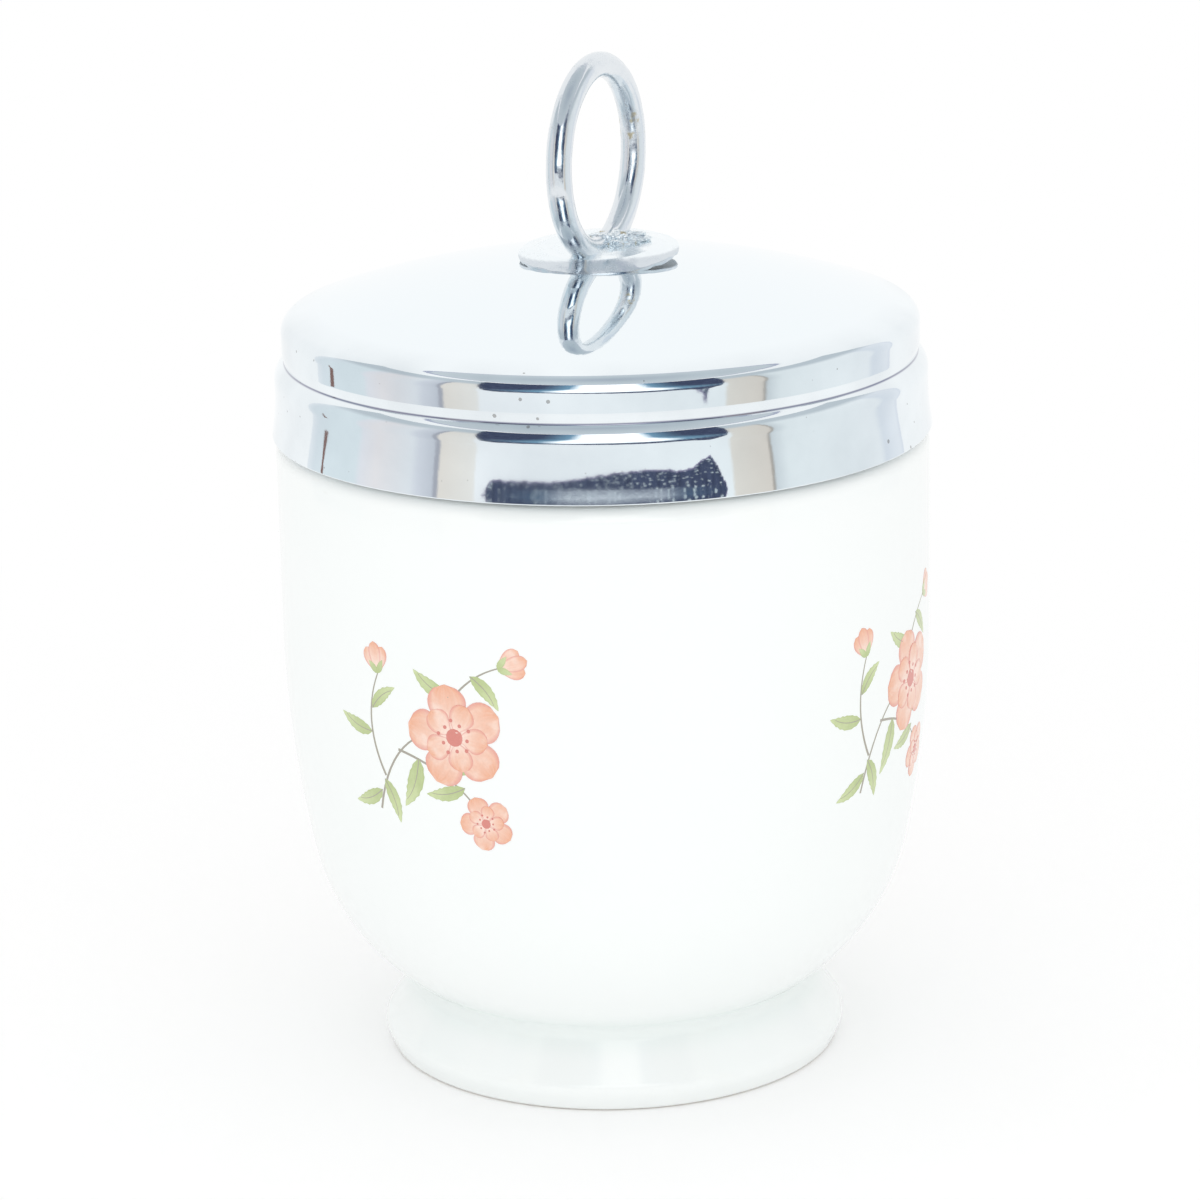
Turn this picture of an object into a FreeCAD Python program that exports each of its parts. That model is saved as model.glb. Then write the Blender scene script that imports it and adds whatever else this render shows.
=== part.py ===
import FreeCAD, Part
import math
import os

# Single-egg porcelain coddler: a footed porcelain cup whose threaded neck takes a chromed
# screw cap with a lifting ring. Millimetres. The origin is the centre of the foot's
# underside, +Z runs up the axis, and the lifting ring's plane is XZ.

# ---- fits -------------------------------------------------------------------------------
SEAT_GAP = 0.1              # between cap pieces that are pressed or rolled together
BORE_GAP = 0.05             # stud shank in its holes, per side
LID_GAP = 0.3               # cap's hem above the cup's shoulder
THREAD_GAP = 0.35           # crest to root, per side
SEAL_GAP = 0.3              # seal's rim inside the liner, per side
HAIR = 1e-6                 # lengths below this count as nothing
WELD = 1e-4                 # faces closer than this count as touching where solids are joined

# ---- cup: foot --------------------------------------------------------------------------
FOOT_RADIUS = 22.6          # outside of the standing ring, before its edge is rounded
FOOT_EDGE_ROUND = 0.6
FOOT_BULGE = 0.9            # the foot's two slopes would meet this far outside it
FOOT_BULGE_HEIGHT = 2.3
FOOT_BULGE_ROUND = 1.6
FOOT_RING_WIDTH = 3.0       # standing face
FOOT_RECESS_DEPTH = 3.9
FOOT_RECESS_DRAFT = 0.7     # the recess narrows by this much towards its roof
FOOT_RECESS_ROUND = 1.2

# ---- cup: body --------------------------------------------------------------------------
BODY_RADIUS = 32.2
BODY_HEIGHT = 63.3          # up to the shoulder under the cap
BODY_EDGE_ROUND = 1.6
SIDE_CORNER_HEIGHT = 34.0   # upright wall and sloping wall would meet here
SIDE_ROUND = 112.0
HIP_INSET = 3.85            # sloping wall and underside would meet this far inside it
HIP_HEIGHT = 13.35
HIP_ROUND = 22.0
WAIST_INSET = 2.7           # underside and foot would meet this far inside the foot
WAIST_HEIGHT = 7.35
WAIST_ROUND = 1.4
WALL = 3.0
FLOOR_THICKNESS = 4.3
FLOOR_ROUND = 9.0
INNER_SHOULDER_DROP = 1.3   # neck bore's lower end under the shoulder
INNER_SHOULDER_SLOPE = 5.0  # height over which the bore widens to the body
INNER_SHOULDER_ROUND = 4.5

# ---- cup: neck and thread ---------------------------------------------------------------
NECK_HEIGHT = 10.0          # from shoulder to rim
NECK_WALL = 2.8
NECK_FOOT_ROUND = 0.8
RIM_ROUND = 0.9
THREAD_PITCH = 4.0
THREAD_HEIGHT = 1.05        # half-round ridge, so also half of its width
THREAD_BURY = 0.5           # ridge stock sunk into the wall that carries it
CUP_THREAD_START = 2.6      # ridge centre above the shoulder
CUP_THREAD_TURNS = 1.4
LINER_THREAD_START = 1.5    # ridge centre above the liner's lower end
LINER_THREAD_TURNS = 1.4
OUTER_FADE = 0.1            # ridge end: depth of the flat under the wall's face
INNER_FADE_RADIUS = 20.0    # ridge end in the liner: radius of the run-out cut

# ---- cap shell --------------------------------------------------------------------------
SHELL_WALL = 0.5
HEM_OVERHANG = 0.3          # the cap's lower edge stands out from the body this much
HEM_WIDTH = 1.3             # edge turned inwards
HEM_ROUND = 0.35
LOWER_BAND_HEIGHT = 7.0     # hem to the corner under the groove
LOWER_BAND_ROUND = 1.2
BAND_LEAN = 0.15            # from its corner down to the flare the lower band leans in this much
FLARE = 0.5                 # then it widens this much towards the hem
FLARE_HEIGHT = 3.4          # leaning and flared parts of the band would meet here
FLARE_ROUND = 26.0
GROOVE_DEPTH = 0.4          # rolled in from the upper band
GROOVE_HEIGHT = 0.25
GROOVE_SLOPE = 0.3          # fall from the groove to the lower band's corner
GROOVE_LEAD = 0.45          # rise from the groove to the upper band
GROOVE_ROUND = 0.2
UPPER_BAND_INSET = 1.2      # from the hem's edge
UPPER_BAND_ROUND = 1.6      # shoulder between upper band and dome
GROOVE_LIP_ROUND = 0.8      # the upper band rolls in to the groove
DOME_EDGE_INSET = 1.3       # the dome runs out to here, short of the upper band
DOME_RADIUS = 104.0         # sphere that the dome is part of

# ---- liner, pressed inside the shell ----------------------------------------------------
LINER_WALL = 0.85
LINER_FLANGE = 0.7          # lower flange, held by the hem
LINER_TOP = 0.6             # upper flange, over the seal
LINER_OVERHANG = 0.7        # the upper flange reaches over the neck's bore this much
LINER_FOOT_ROUND = 0.5
LINER_TOP_ROUND = 1.2
LINER_BORE_ROUND = 0.25

# ---- seal -------------------------------------------------------------------------------
SEAL_THICKNESS = 1.5
SEAL_OVERHANG = 0.6         # the seal reaches over the neck's bore this much
SEAL_ROUND = 0.25

# ---- finial: disc, ring, stud and washer ------------------------------------------------
DISC_RADIUS = 7.9
DISC_BRIM = 0.4             # thickness of the disc's flat brim
DISC_EDGE_ROUND = 0.15
BOSS_FOOT = 5.8             # the disc's low conical boss, at the brim
BOSS_FOOT_ROUND = 4.0
BOSS_TOP = 2.2
BOSS_TOP_ROUND = 0.6
BOSS_HEIGHT = 0.8           # over the brim
RING_OUTSIDE = 20.5         # lifting ring, over all
RING_WIRE = 2.5
RING_SEAT = 0.43            # the ring's full circle would reach this far under the disc
RING_GRIND = 0.9            # ground off the ring's foot, which leaves a flat
STUD_RADIUS = 1.5
STUD_TAIL = 2.5
STUD_TAIL_HEIGHT = 0.9
STUD_TAIL_ROUND = 0.6
WASHER_RADIUS = 6.0
WASHER_THICKNESS = 0.8
WASHER_ROUND = 0.15

# ---- places worked out from the sizes above ---------------------------------------------
rim_height = BODY_HEIGHT + NECK_HEIGHT
ring_radius = (RING_OUTSIDE - RING_WIRE) / 2
hem_radius = BODY_RADIUS + HEM_OVERHANG
hem_height = BODY_HEIGHT + LID_GAP
upper_band_radius = hem_radius - UPPER_BAND_INSET
groove_radius = upper_band_radius - GROOVE_DEPTH
dome_edge_radius = upper_band_radius - DOME_EDGE_INSET
# The liner passes the groove's bead, and the neck's thread passes the liner's.
liner_radius = groove_radius - SHELL_WALL - SEAT_GAP
liner_bore = liner_radius - LINER_WALL
neck_radius = liner_bore - THREAD_GAP - THREAD_HEIGHT
neck_bore = neck_radius - NECK_WALL
liner_bottom = hem_height + SHELL_WALL + SEAT_GAP
seal_top = rim_height + SEAL_THICKNESS
liner_top = seal_top + LINER_TOP
dome_slope = math.asin(dome_edge_radius / DOME_RADIUS)
# The dome's inner face clears the liner's top where that top's round ends.
dome_edge_height = (
    liner_top
    + SEAT_GAP
    + SHELL_WALL / math.cos(dome_slope)
    - (dome_edge_radius - liner_radius + LINER_TOP_ROUND) * math.tan(dome_slope)
)
dome_centre = dome_edge_height - DOME_RADIUS * math.cos(dome_slope)
dome_top = dome_centre + DOME_RADIUS
brim_top = dome_top + DISC_BRIM
disc_top = brim_top + BOSS_HEIGHT
ring_centre = dome_top - RING_SEAT + RING_OUTSIDE / 2
ring_foot = ring_centre - RING_OUTSIDE / 2 + RING_GRIND
inner_dome = DOME_RADIUS - SHELL_WALL
washer_top = dome_centre + math.sqrt(inner_dome**2 - WASHER_RADIUS**2)
washer_bottom = washer_top - WASHER_THICKNESS


# ---- drawing helpers --------------------------------------------------------------------
def at(radius, height):
    """Point of a half section, in the XZ plane."""
    return FreeCAD.Vector(radius, 0, height)


def turn_at(before, corner, after):
    """Signed angle by which the outline turns at a corner, anticlockwise positive."""
    heading_in = math.atan2(corner[1] - before[1], corner[0] - before[0])
    heading_out = math.atan2(after[1] - corner[1], after[0] - corner[0])
    return math.remainder(heading_out - heading_in, 2 * math.pi)


def tangent_lengths(corners):
    """How far each corner's round reaches along its sides, eased where two would meet."""
    reach = [0.0] * len(corners)
    for i in range(1, len(corners) - 1):
        turn = turn_at(corners[i - 1], corners[i], corners[i + 1])
        reach[i] = corners[i][2] * math.tan(abs(turn) / 2)
    ease = [1.0] * len(corners)
    for i in range(len(corners) - 1):
        side = math.dist(corners[i][:2], corners[i + 1][:2])
        wanted = reach[i] + reach[i + 1]
        if wanted > side:
            ease[i] = min(ease[i], side / wanted)
            ease[i + 1] = min(ease[i + 1], side / wanted)
    return [length * factor for length, factor in zip(reach, ease)]


def rounded_path(corners):
    """Edges of an outline through (radius, height, round) corners."""
    edges = []
    reach = tangent_lengths(corners)
    start = at(*corners[0][:2])
    for i in range(1, len(corners) - 1):
        corner = at(*corners[i][:2])
        back = (at(*corners[i - 1][:2]) - corner).normalize()
        ahead = (at(*corners[i + 1][:2]) - corner).normalize()
        leave = corner + back * reach[i]
        if start.distanceToPoint(leave) > HAIR:
            edges.append(Part.makeLine(start, leave))
        start = corner + ahead * reach[i]
        if reach[i] > HAIR:
            half = back.getAngle(ahead) / 2
            inward = (back + ahead).normalize()
            middle = corner + inward * (reach[i] / math.cos(half) - reach[i] * math.tan(half))
            edges.append(Part.Arc(leave, middle, start).toShape())
    end = at(*corners[-1][:2])
    if start.distanceToPoint(end) > HAIR:
        edges.append(Part.makeLine(start, end))
    return edges


def parallel(corners, gap):
    """The same outline shifted to the left of its direction by a gap."""
    shifted = []
    last = len(corners) - 1
    for i, (radius, height, rounding) in enumerate(corners):
        before = corners[max(i, 1) - 1]
        after = corners[min(i, last - 1) + 1]
        into = corners[i] if i else corners[1]
        heading = math.atan2(into[1] - before[1], into[0] - before[0])
        turn = 0.0
        if 0 < i < last:
            turn = turn_at(before, corners[i], after)
        across = heading + turn / 2 + math.pi / 2
        shift = gap / math.cos(turn / 2)
        rounding = max(rounding - gap * math.copysign(1, turn), 0.0) if turn else 0.0
        shifted.append(
            (radius + shift * math.cos(across), height + shift * math.sin(across), rounding)
        )
    return shifted


def revolved(edges):
    """Solid of revolution about the Z axis from the edges of a closed half section."""
    face = Part.Face(Part.Wire(Part.__sortEdges__(edges)))
    solid = face.revolve(FreeCAD.Vector(0, 0, 0), FreeCAD.Vector(0, 0, 1), 360)
    return Part.Solid(solid.Shells[0]) if solid.ShapeType != "Solid" else solid


def turned(corners):
    """Solid of revolution from one closed run of corners, the first of them sharp."""
    return revolved(rounded_path(corners + [corners[0][:2] + (0,)]))


def dome_point(radius, sphere):
    """Point of a sphere about the dome's centre, at a distance from the axis."""
    return at(radius, dome_centre + math.sqrt(sphere**2 - radius**2))


def dome_arc(inner, outer, sphere):
    """Arc of the dome's section between two distances from the axis."""
    middle = dome_point((inner + outer) / 2, sphere)
    return Part.Arc(dome_point(inner, sphere), middle, dome_point(outer, sphere)).toShape()


# ---- thread -----------------------------------------------------------------------------
def helical_ridge(root, height, bury, start, turns):
    """Half-round ridge on a right-hand helix, standing off a wall by a signed height."""
    rise = THREAD_PITCH * turns
    spine = Part.makeHelix(THREAD_PITCH, rise, root)
    half = abs(height)
    low = at(root, -half)
    high = at(root, half)
    deep_low = at(root - math.copysign(bury, height), -half)
    deep_high = at(root - math.copysign(bury, height), half)
    section = Part.Wire(
        [
            Part.Arc(low, at(root + height, 0), high).toShape(),
            Part.makeLine(high, deep_high),
            Part.makeLine(deep_high, deep_low),
            Part.makeLine(deep_low, low),
        ]
    )
    ridge = Part.Wire(spine).makePipeShell([section], True, True)
    ridge.translate(at(0, start))
    return ridge


def ridge_ends(start, turns):
    """Angle in degrees and height of both ends of a ridge."""
    return [(0.0, start), (360.0 * turns, start + THREAD_PITCH * turns)]


def outside_thread():
    """Ridge on the neck, run out to nothing at both ends by flats."""
    start = BODY_HEIGHT + CUP_THREAD_START
    ridge = helical_ridge(neck_radius, THREAD_HEIGHT, THREAD_BURY, start, CUP_THREAD_TURNS)
    for angle, height in ridge_ends(start, CUP_THREAD_TURNS):
        flat = Part.makeBox(
            neck_radius,
            neck_radius,
            THREAD_PITCH,
            FreeCAD.Vector(neck_radius - OUTER_FADE, -neck_radius / 2, height - THREAD_PITCH / 2),
        )
        flat.rotate(FreeCAD.Vector(0, 0, 0), FreeCAD.Vector(0, 0, 1), angle)
        ridge = ridge.cut(flat)
    return ridge


def inside_thread():
    """Ridge in the liner, half a pitch off the neck's and run out at both ends."""
    start = liner_bottom + LINER_THREAD_START
    ridge = helical_ridge(liner_bore, -THREAD_HEIGHT, THREAD_BURY, start, LINER_THREAD_TURNS)
    for angle, height in ridge_ends(start, LINER_THREAD_TURNS):
        run_out = Part.makeCylinder(
            INNER_FADE_RADIUS,
            THREAD_PITCH,
            at(liner_bore + OUTER_FADE - INNER_FADE_RADIUS, height - THREAD_PITCH / 2),
        )
        run_out.rotate(FreeCAD.Vector(0, 0, 0), FreeCAD.Vector(0, 0, 1), angle)
        ridge = ridge.cut(run_out)
    lead = start - (BODY_HEIGHT + CUP_THREAD_START) + THREAD_PITCH / 2
    phase = 360 * lead / THREAD_PITCH
    ridge.rotate(FreeCAD.Vector(0, 0, 0), FreeCAD.Vector(0, 0, 1), phase)
    return ridge


# ---- cup --------------------------------------------------------------------------------
def cup():
    """Porcelain cup in one piece: foot, bowl, neck and the moulded thread."""
    side = (BODY_RADIUS, SIDE_CORNER_HEIGHT, SIDE_ROUND)
    hip = (BODY_RADIUS - HIP_INSET, HIP_HEIGHT, HIP_ROUND)
    waist = (FOOT_RADIUS - WAIST_INSET, WAIST_HEIGHT, WAIST_ROUND)
    shoulder = (BODY_RADIUS, BODY_HEIGHT, BODY_EDGE_ROUND)
    floor = FOOT_RECESS_DEPTH + FLOOR_THICKNESS
    _, inner_hip, inner_side, _ = parallel([waist, hip, side, shoulder], WALL)
    bowl_lean = (hip[0] - waist[0]) / (hip[1] - waist[1])
    floor_radius = inner_hip[0] - (inner_hip[1] - floor) * bowl_lean
    recess = FOOT_RADIUS - FOOT_RING_WIDTH
    bore_end = BODY_HEIGHT - INNER_SHOULDER_DROP
    body = turned(
        [
            (0, FOOT_RECESS_DEPTH, 0),
            (recess - FOOT_RECESS_DRAFT, FOOT_RECESS_DEPTH, FOOT_RECESS_ROUND),
            (recess, 0, FOOT_EDGE_ROUND),
            (FOOT_RADIUS, 0, FOOT_EDGE_ROUND),
            (FOOT_RADIUS + FOOT_BULGE, FOOT_BULGE_HEIGHT, FOOT_BULGE_ROUND),
            waist,
            hip,
            side,
            shoulder,
            (neck_radius, BODY_HEIGHT, NECK_FOOT_ROUND),
            (neck_radius, rim_height, RIM_ROUND),
            (neck_bore, rim_height, RIM_ROUND),
            (neck_bore, bore_end, INNER_SHOULDER_ROUND),
            (BODY_RADIUS - WALL, bore_end - INNER_SHOULDER_SLOPE, INNER_SHOULDER_ROUND),
            inner_side,
            inner_hip,
            (floor_radius, floor, FLOOR_ROUND),
            (0, floor, 0),
        ]
    )
    return body.fuse(outside_thread(), WELD)


# ---- cap --------------------------------------------------------------------------------
def lid_shell():
    """Pressed cap: dome, two bands with a rolled groove between them, turned-in hem."""
    band_top = hem_height + LOWER_BAND_HEIGHT
    groove_low = band_top + GROOVE_SLOPE
    groove_high = groove_low + GROOVE_HEIGHT
    fall = (upper_band_radius - dome_edge_radius) * math.tan(dome_slope)
    outside = [
        (dome_edge_radius, dome_edge_height, 0),
        (upper_band_radius, dome_edge_height - fall, UPPER_BAND_ROUND),
        (upper_band_radius, groove_high + GROOVE_LEAD, GROOVE_LIP_ROUND),
        (groove_radius, groove_high, GROOVE_ROUND),
        (groove_radius, groove_low, GROOVE_ROUND),
        (hem_radius - FLARE + BAND_LEAN, band_top, LOWER_BAND_ROUND),
        (hem_radius - FLARE, hem_height + FLARE_HEIGHT, FLARE_ROUND),
        (hem_radius, hem_height, HEM_ROUND),
        (hem_radius - HEM_WIDTH, hem_height, 0),
    ]
    inside = parallel(outside, -SHELL_WALL)
    hole = STUD_RADIUS + BORE_GAP
    inner_edge = inside[0][0]
    edges = rounded_path(outside)
    edges += rounded_path(inside)
    edges.append(Part.makeLine(at(*outside[-1][:2]), at(*inside[-1][:2])))
    edges.append(dome_arc(hole, dome_edge_radius, DOME_RADIUS))
    edges.append(dome_arc(hole, inner_edge, inner_dome))
    edges.append(Part.makeLine(dome_point(hole, DOME_RADIUS), dome_point(hole, inner_dome)))
    return revolved(edges)


def lid_liner():
    """Threaded liner that the hem holds inside the shell."""
    flange_top = liner_bottom + LINER_FLANGE
    flare_slope = math.atan(FLARE / FLARE_HEIGHT)
    shell_inside = hem_radius - SHELL_WALL / math.cos(flare_slope)
    flange = shell_inside - (flange_top - hem_height) * math.tan(flare_slope) - SEAT_GAP
    mouth = neck_bore - LINER_OVERHANG
    sleeve = turned(
        [
            (liner_bore, liner_bottom, 0),
            (flange, liner_bottom, 0),
            (flange, flange_top, 0),
            (liner_radius, flange_top, LINER_FOOT_ROUND),
            (liner_radius, liner_top, LINER_TOP_ROUND),
            (mouth, liner_top, 0),
            (mouth, seal_top, 0),
            (liner_bore, seal_top, LINER_BORE_ROUND),
        ]
    )
    return sleeve.fuse(inside_thread(), WELD)


def lid_seal():
    """Flat rubber ring between the cup's rim and the liner's upper flange."""
    outer = liner_bore - SEAL_GAP
    inner = neck_bore - SEAL_OVERHANG
    return turned(
        [
            ((inner + outer) / 2, rim_height, 0),
            (outer, rim_height, SEAL_ROUND),
            (outer, seal_top, SEAL_ROUND),
            (inner, seal_top, SEAL_ROUND),
            (inner, rim_height, SEAL_ROUND),
        ]
    )


# ---- finial -----------------------------------------------------------------------------
def lifting_ring():
    """Closed wire ring, ground flat at its foot, that stands in the disc's boss."""
    ring = Part.makeTorus(
        ring_radius, RING_WIRE / 2, at(0, ring_centre), FreeCAD.Vector(0, 1, 0)
    )
    corner = FreeCAD.Vector(-RING_OUTSIDE, -2 * RING_WIRE, ring_foot - RING_OUTSIDE)
    return ring.cut(Part.makeBox(2 * RING_OUTSIDE, 4 * RING_WIRE, RING_OUTSIDE, corner))


def finial_disc():
    """Disc with a flat brim and a low boss, which a groove for the ring runs across."""
    disc = turned(
        [
            (STUD_RADIUS + BORE_GAP, dome_top, 0),
            (DISC_RADIUS, dome_top, DISC_EDGE_ROUND),
            (DISC_RADIUS, brim_top, DISC_EDGE_ROUND),
            (BOSS_FOOT, brim_top, BOSS_FOOT_ROUND),
            (BOSS_TOP, disc_top, BOSS_TOP_ROUND),
            (STUD_RADIUS + BORE_GAP, disc_top, 0),
        ]
    )
    return disc.cut(lifting_ring())


def finial_stud():
    """Stud brazed under the ring's foot, through disc and dome, headed over under the washer."""
    tail = washer_bottom - STUD_TAIL_HEIGHT
    return turned(
        [
            (0, tail, 0),
            (STUD_TAIL, tail, STUD_TAIL_ROUND),
            (STUD_TAIL, washer_bottom, 0),
            (STUD_RADIUS, washer_bottom, 0),
            (STUD_RADIUS, ring_foot, 0),
            (0, ring_foot, 0),
        ]
    )


def stud_washer():
    """Washer that spreads the stud's pull inside the dome."""
    bore = STUD_RADIUS + BORE_GAP
    return turned(
        [
            (bore, washer_bottom, 0),
            (WASHER_RADIUS, washer_bottom, WASHER_ROUND),
            (WASHER_RADIUS, washer_top, WASHER_ROUND),
            (bore, washer_top, 0),
        ]
    )


os.makedirs("parts", exist_ok=True)
for piece in (
    cup,
    lid_shell,
    lid_liner,
    lid_seal,
    lifting_ring,
    finial_disc,
    finial_stud,
    stud_washer,
):
    shape = piece()
    box = shape.BoundBox
    print(
        f"{piece.__name__:13s} solids {len(shape.Solids)} valid {shape.isValid()} "
        f"volume {shape.Volume:9.1f} z {box.ZMin:7.2f} {box.ZMax:7.2f} r {box.XMax:6.2f}"
    )
    shape.exportStep(f"parts/{piece.__name__}.step")
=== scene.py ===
import math

import bmesh
import bpy
from bpy.props import FloatProperty, FloatVectorProperty, PointerProperty
from bpy.types import Operator, Panel, PropertyGroup
from mathutils import Matrix, Vector, noise
from mathutils.bvhtree import BVHTree


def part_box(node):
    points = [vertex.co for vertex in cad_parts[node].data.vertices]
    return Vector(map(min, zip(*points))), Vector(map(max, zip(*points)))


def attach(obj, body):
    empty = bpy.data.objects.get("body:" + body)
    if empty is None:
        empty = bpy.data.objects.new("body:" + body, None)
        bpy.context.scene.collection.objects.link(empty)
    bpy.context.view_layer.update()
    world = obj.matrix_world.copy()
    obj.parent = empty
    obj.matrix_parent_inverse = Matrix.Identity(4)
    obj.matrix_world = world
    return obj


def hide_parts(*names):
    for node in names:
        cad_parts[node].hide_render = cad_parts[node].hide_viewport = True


bl_info = {
    "name": "Porcelain Egg Coddler",
    "version": (1, 0, 0),
    "blender": (4, 5, 0),
    "location": "3D View > Sidebar > Coddler",
    "description": "Dresses a footed porcelain cup with a chromed screw cap and a lifting ring",
    "category": "Object",
}

MM = 0.001
HAIR = 1e-6                # metres: points closer than this are one point
CREASE = math.radians(32)  # edges that turn more than this stay sharp
ZERO = (0, 0, 0)
UP = (0, 0, 1)

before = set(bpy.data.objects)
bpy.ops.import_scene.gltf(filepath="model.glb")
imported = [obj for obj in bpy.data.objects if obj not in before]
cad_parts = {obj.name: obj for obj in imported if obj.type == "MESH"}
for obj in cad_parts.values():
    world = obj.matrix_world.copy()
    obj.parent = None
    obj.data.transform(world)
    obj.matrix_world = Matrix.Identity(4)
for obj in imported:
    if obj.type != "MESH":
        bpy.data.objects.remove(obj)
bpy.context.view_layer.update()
_, CUP_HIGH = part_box("cup")
SHELL_LOW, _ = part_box("lid_shell")
RING_LOW, RING_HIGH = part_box("lifting_ring")
DISC_LOW, DISC_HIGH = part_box("finial_disc")


def linear(colour):
    """Linear red, green and blue of an sRGB hex colour such as #F4F6F3."""
    shares = [int(colour[i : i + 2], 16) / 255 for i in (1, 3, 5)]
    return tuple(s / 12.92 if s <= 0.04045 else ((s + 0.055) / 1.055) ** 2.4 for s in shares)


def length(name, default, description):
    """A size in metres."""
    return FloatProperty(
        name=name, description=description, default=default, unit="LENGTH", precision=5
    )


def angle(name, degrees, description):
    """An angle, given in degrees."""
    return FloatProperty(
        name=name, description=description, default=math.radians(degrees), unit="ROTATION"
    )


def colour(name, default, description):
    """A colour, given as sRGB hex."""
    return FloatVectorProperty(
        name=name,
        description=description,
        default=linear(default),
        subtype="COLOR",
        size=3,
        min=0,
        max=1,
    )


# ---- sizes and colours --------------------------------------------------------------------
class CupSizes(PropertyGroup):
    """Sizes of the porcelain cup."""

    foot_radius: length("Foot radius", 22.6 * MM, "Outside of the standing ring")
    foot_edge_round: length("Foot edge round", 0.6 * MM, "Round at the standing face")
    foot_bulge: length("Foot bulge", 0.9 * MM, "The foot's two slopes would meet this far out")
    foot_bulge_height: length("Foot bulge height", 2.3 * MM, "Height of that meeting")
    foot_bulge_round: length("Foot bulge round", 1.6 * MM, "Round of the foot's bulge")
    foot_ring_width: length("Foot ring width", 3.0 * MM, "Width of the standing face")
    recess_depth: length("Recess depth", 3.9 * MM, "Hollow under the foot")
    recess_draft: length("Recess draft", 0.7 * MM, "The hollow narrows this much to its roof")
    recess_round: length("Recess round", 1.2 * MM, "Round at the hollow's roof")
    body_radius: length("Body radius", CUP_HIGH.x, "Outside of the upright wall")
    body_height: length("Body height", 63.3 * MM, "Shoulder under the cap")
    body_edge_round: length("Body edge round", 1.6 * MM, "Round of that shoulder")
    side_corner: length("Side corner height", 34.0 * MM, "Upright and sloping wall would meet here")
    side_round: length("Side round", 112.0 * MM, "Round between them")
    hip_inset: length("Hip inset", 3.85 * MM, "Sloping wall and underside would meet this far in")
    hip_height: length("Hip height", 13.35 * MM, "Height of that meeting")
    hip_round: length("Hip round", 22.0 * MM, "Round of the bowl's underside")
    waist_inset: length("Waist inset", 2.7 * MM, "The waist's depth inside the foot")
    waist_height: length("Waist height", 7.35 * MM, "Height of the waist")
    waist_round: length("Waist round", 1.4 * MM, "Round of the waist")
    wall: length("Wall", 3.0 * MM, "Wall of the bowl")
    floor: length("Floor", 4.3 * MM, "Thickness of the bowl's floor")
    floor_round: length("Floor round", 9.0 * MM, "Round between floor and wall")
    neck_radius: length("Neck radius", 28.05 * MM, "Outside of the neck under its thread")
    neck_wall: length("Neck wall", 2.8 * MM, "Wall of the neck")
    neck_foot_round: length("Neck foot round", 0.8 * MM, "Round where the neck starts")
    rim_height: length("Rim height", CUP_HIGH.z, "Top of the neck")
    rim_round: length("Rim round", 0.9 * MM, "Round of the rim")
    inner_shoulder_drop: length("Inner shoulder drop", 1.3 * MM, "End of the neck's bore")
    inner_shoulder_slope: length("Inner shoulder slope", 5.0 * MM, "Height of the widening")
    inner_shoulder_round: length("Inner shoulder round", 4.5 * MM, "Rounds of that widening")
    thread_height: length("Thread height", 1.05 * MM, "Half-round ridge off the neck")
    thread_bury: length("Thread bury", 0.5 * MM, "Ridge sunk into the neck")
    thread_pitch: length("Thread pitch", 4.0 * MM, "Rise of one turn")
    thread_start: length("Thread start", 2.6 * MM, "Ridge's lower end over the shoulder")
    thread_turns: FloatProperty(name="Thread turns", description="Length of the ridge", default=1.4)


class CapSizes(PropertyGroup):
    """Sizes of the chromed cap and what stands on it."""

    wall: length("Cap wall", 0.5 * MM, "Sheet that the cap is pressed from")
    hem_overhang: length("Hem overhang", 0.26 * MM, "The cap's edge stands out from the cup")
    hem_height: length("Hem height", SHELL_LOW.z, "The cap's lower edge")
    hem_width: length("Hem width", 1.3 * MM, "Edge turned inwards")
    hem_round: length("Hem round", 0.12 * MM, "Round of the lower edge")
    lower_band: length("Lower band", 6.5 * MM, "Hem to the corner under the groove")
    lower_band_round: length("Lower band round", 2.4 * MM, "Round of that corner")
    band_lean: length("Band lean", 0.15 * MM, "The band leans in this much down to its flare")
    flare: length("Flare", 0.5 * MM, "The lower band widens this much towards the hem")
    flare_height: length("Flare height", 3.4 * MM, "Leaning and flared parts would meet here")
    flare_round: length("Flare round", 26.0 * MM, "Round between them")
    groove_depth: length("Groove depth", 0.2 * MM, "Rolled in from the upper band")
    groove_height: length("Groove height", 0.12 * MM, "Height of the groove's floor")
    groove_slope: length("Groove slope", 0.8 * MM, "Fall to the lower band")
    groove_lead: length("Groove lead", 0.9 * MM, "Rise to the upper band")
    groove_round: length("Groove round", 0.12 * MM, "Rounds in the groove")
    groove_lip_round: length("Groove lip round", 1.5 * MM, "The upper band rolls in to the groove")
    upper_band_inset: length("Upper band inset", 1.2 * MM, "From the hem's edge")
    upper_band_round: length("Upper band round", 1.6 * MM, "Shoulder under the dome")
    dome_edge_inset: length("Dome edge inset", 1.3 * MM, "Dome's end short of the upper band")
    dome_radius: length("Dome radius", 92.0 * MM, "Sphere that the dome is part of")
    dome_top: length("Dome top", DISC_LOW.z + 0.25 * MM, "Apex of the dome")
    hole_radius: length("Stud hole radius", 1.55 * MM, "Hole in the apex")


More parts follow.
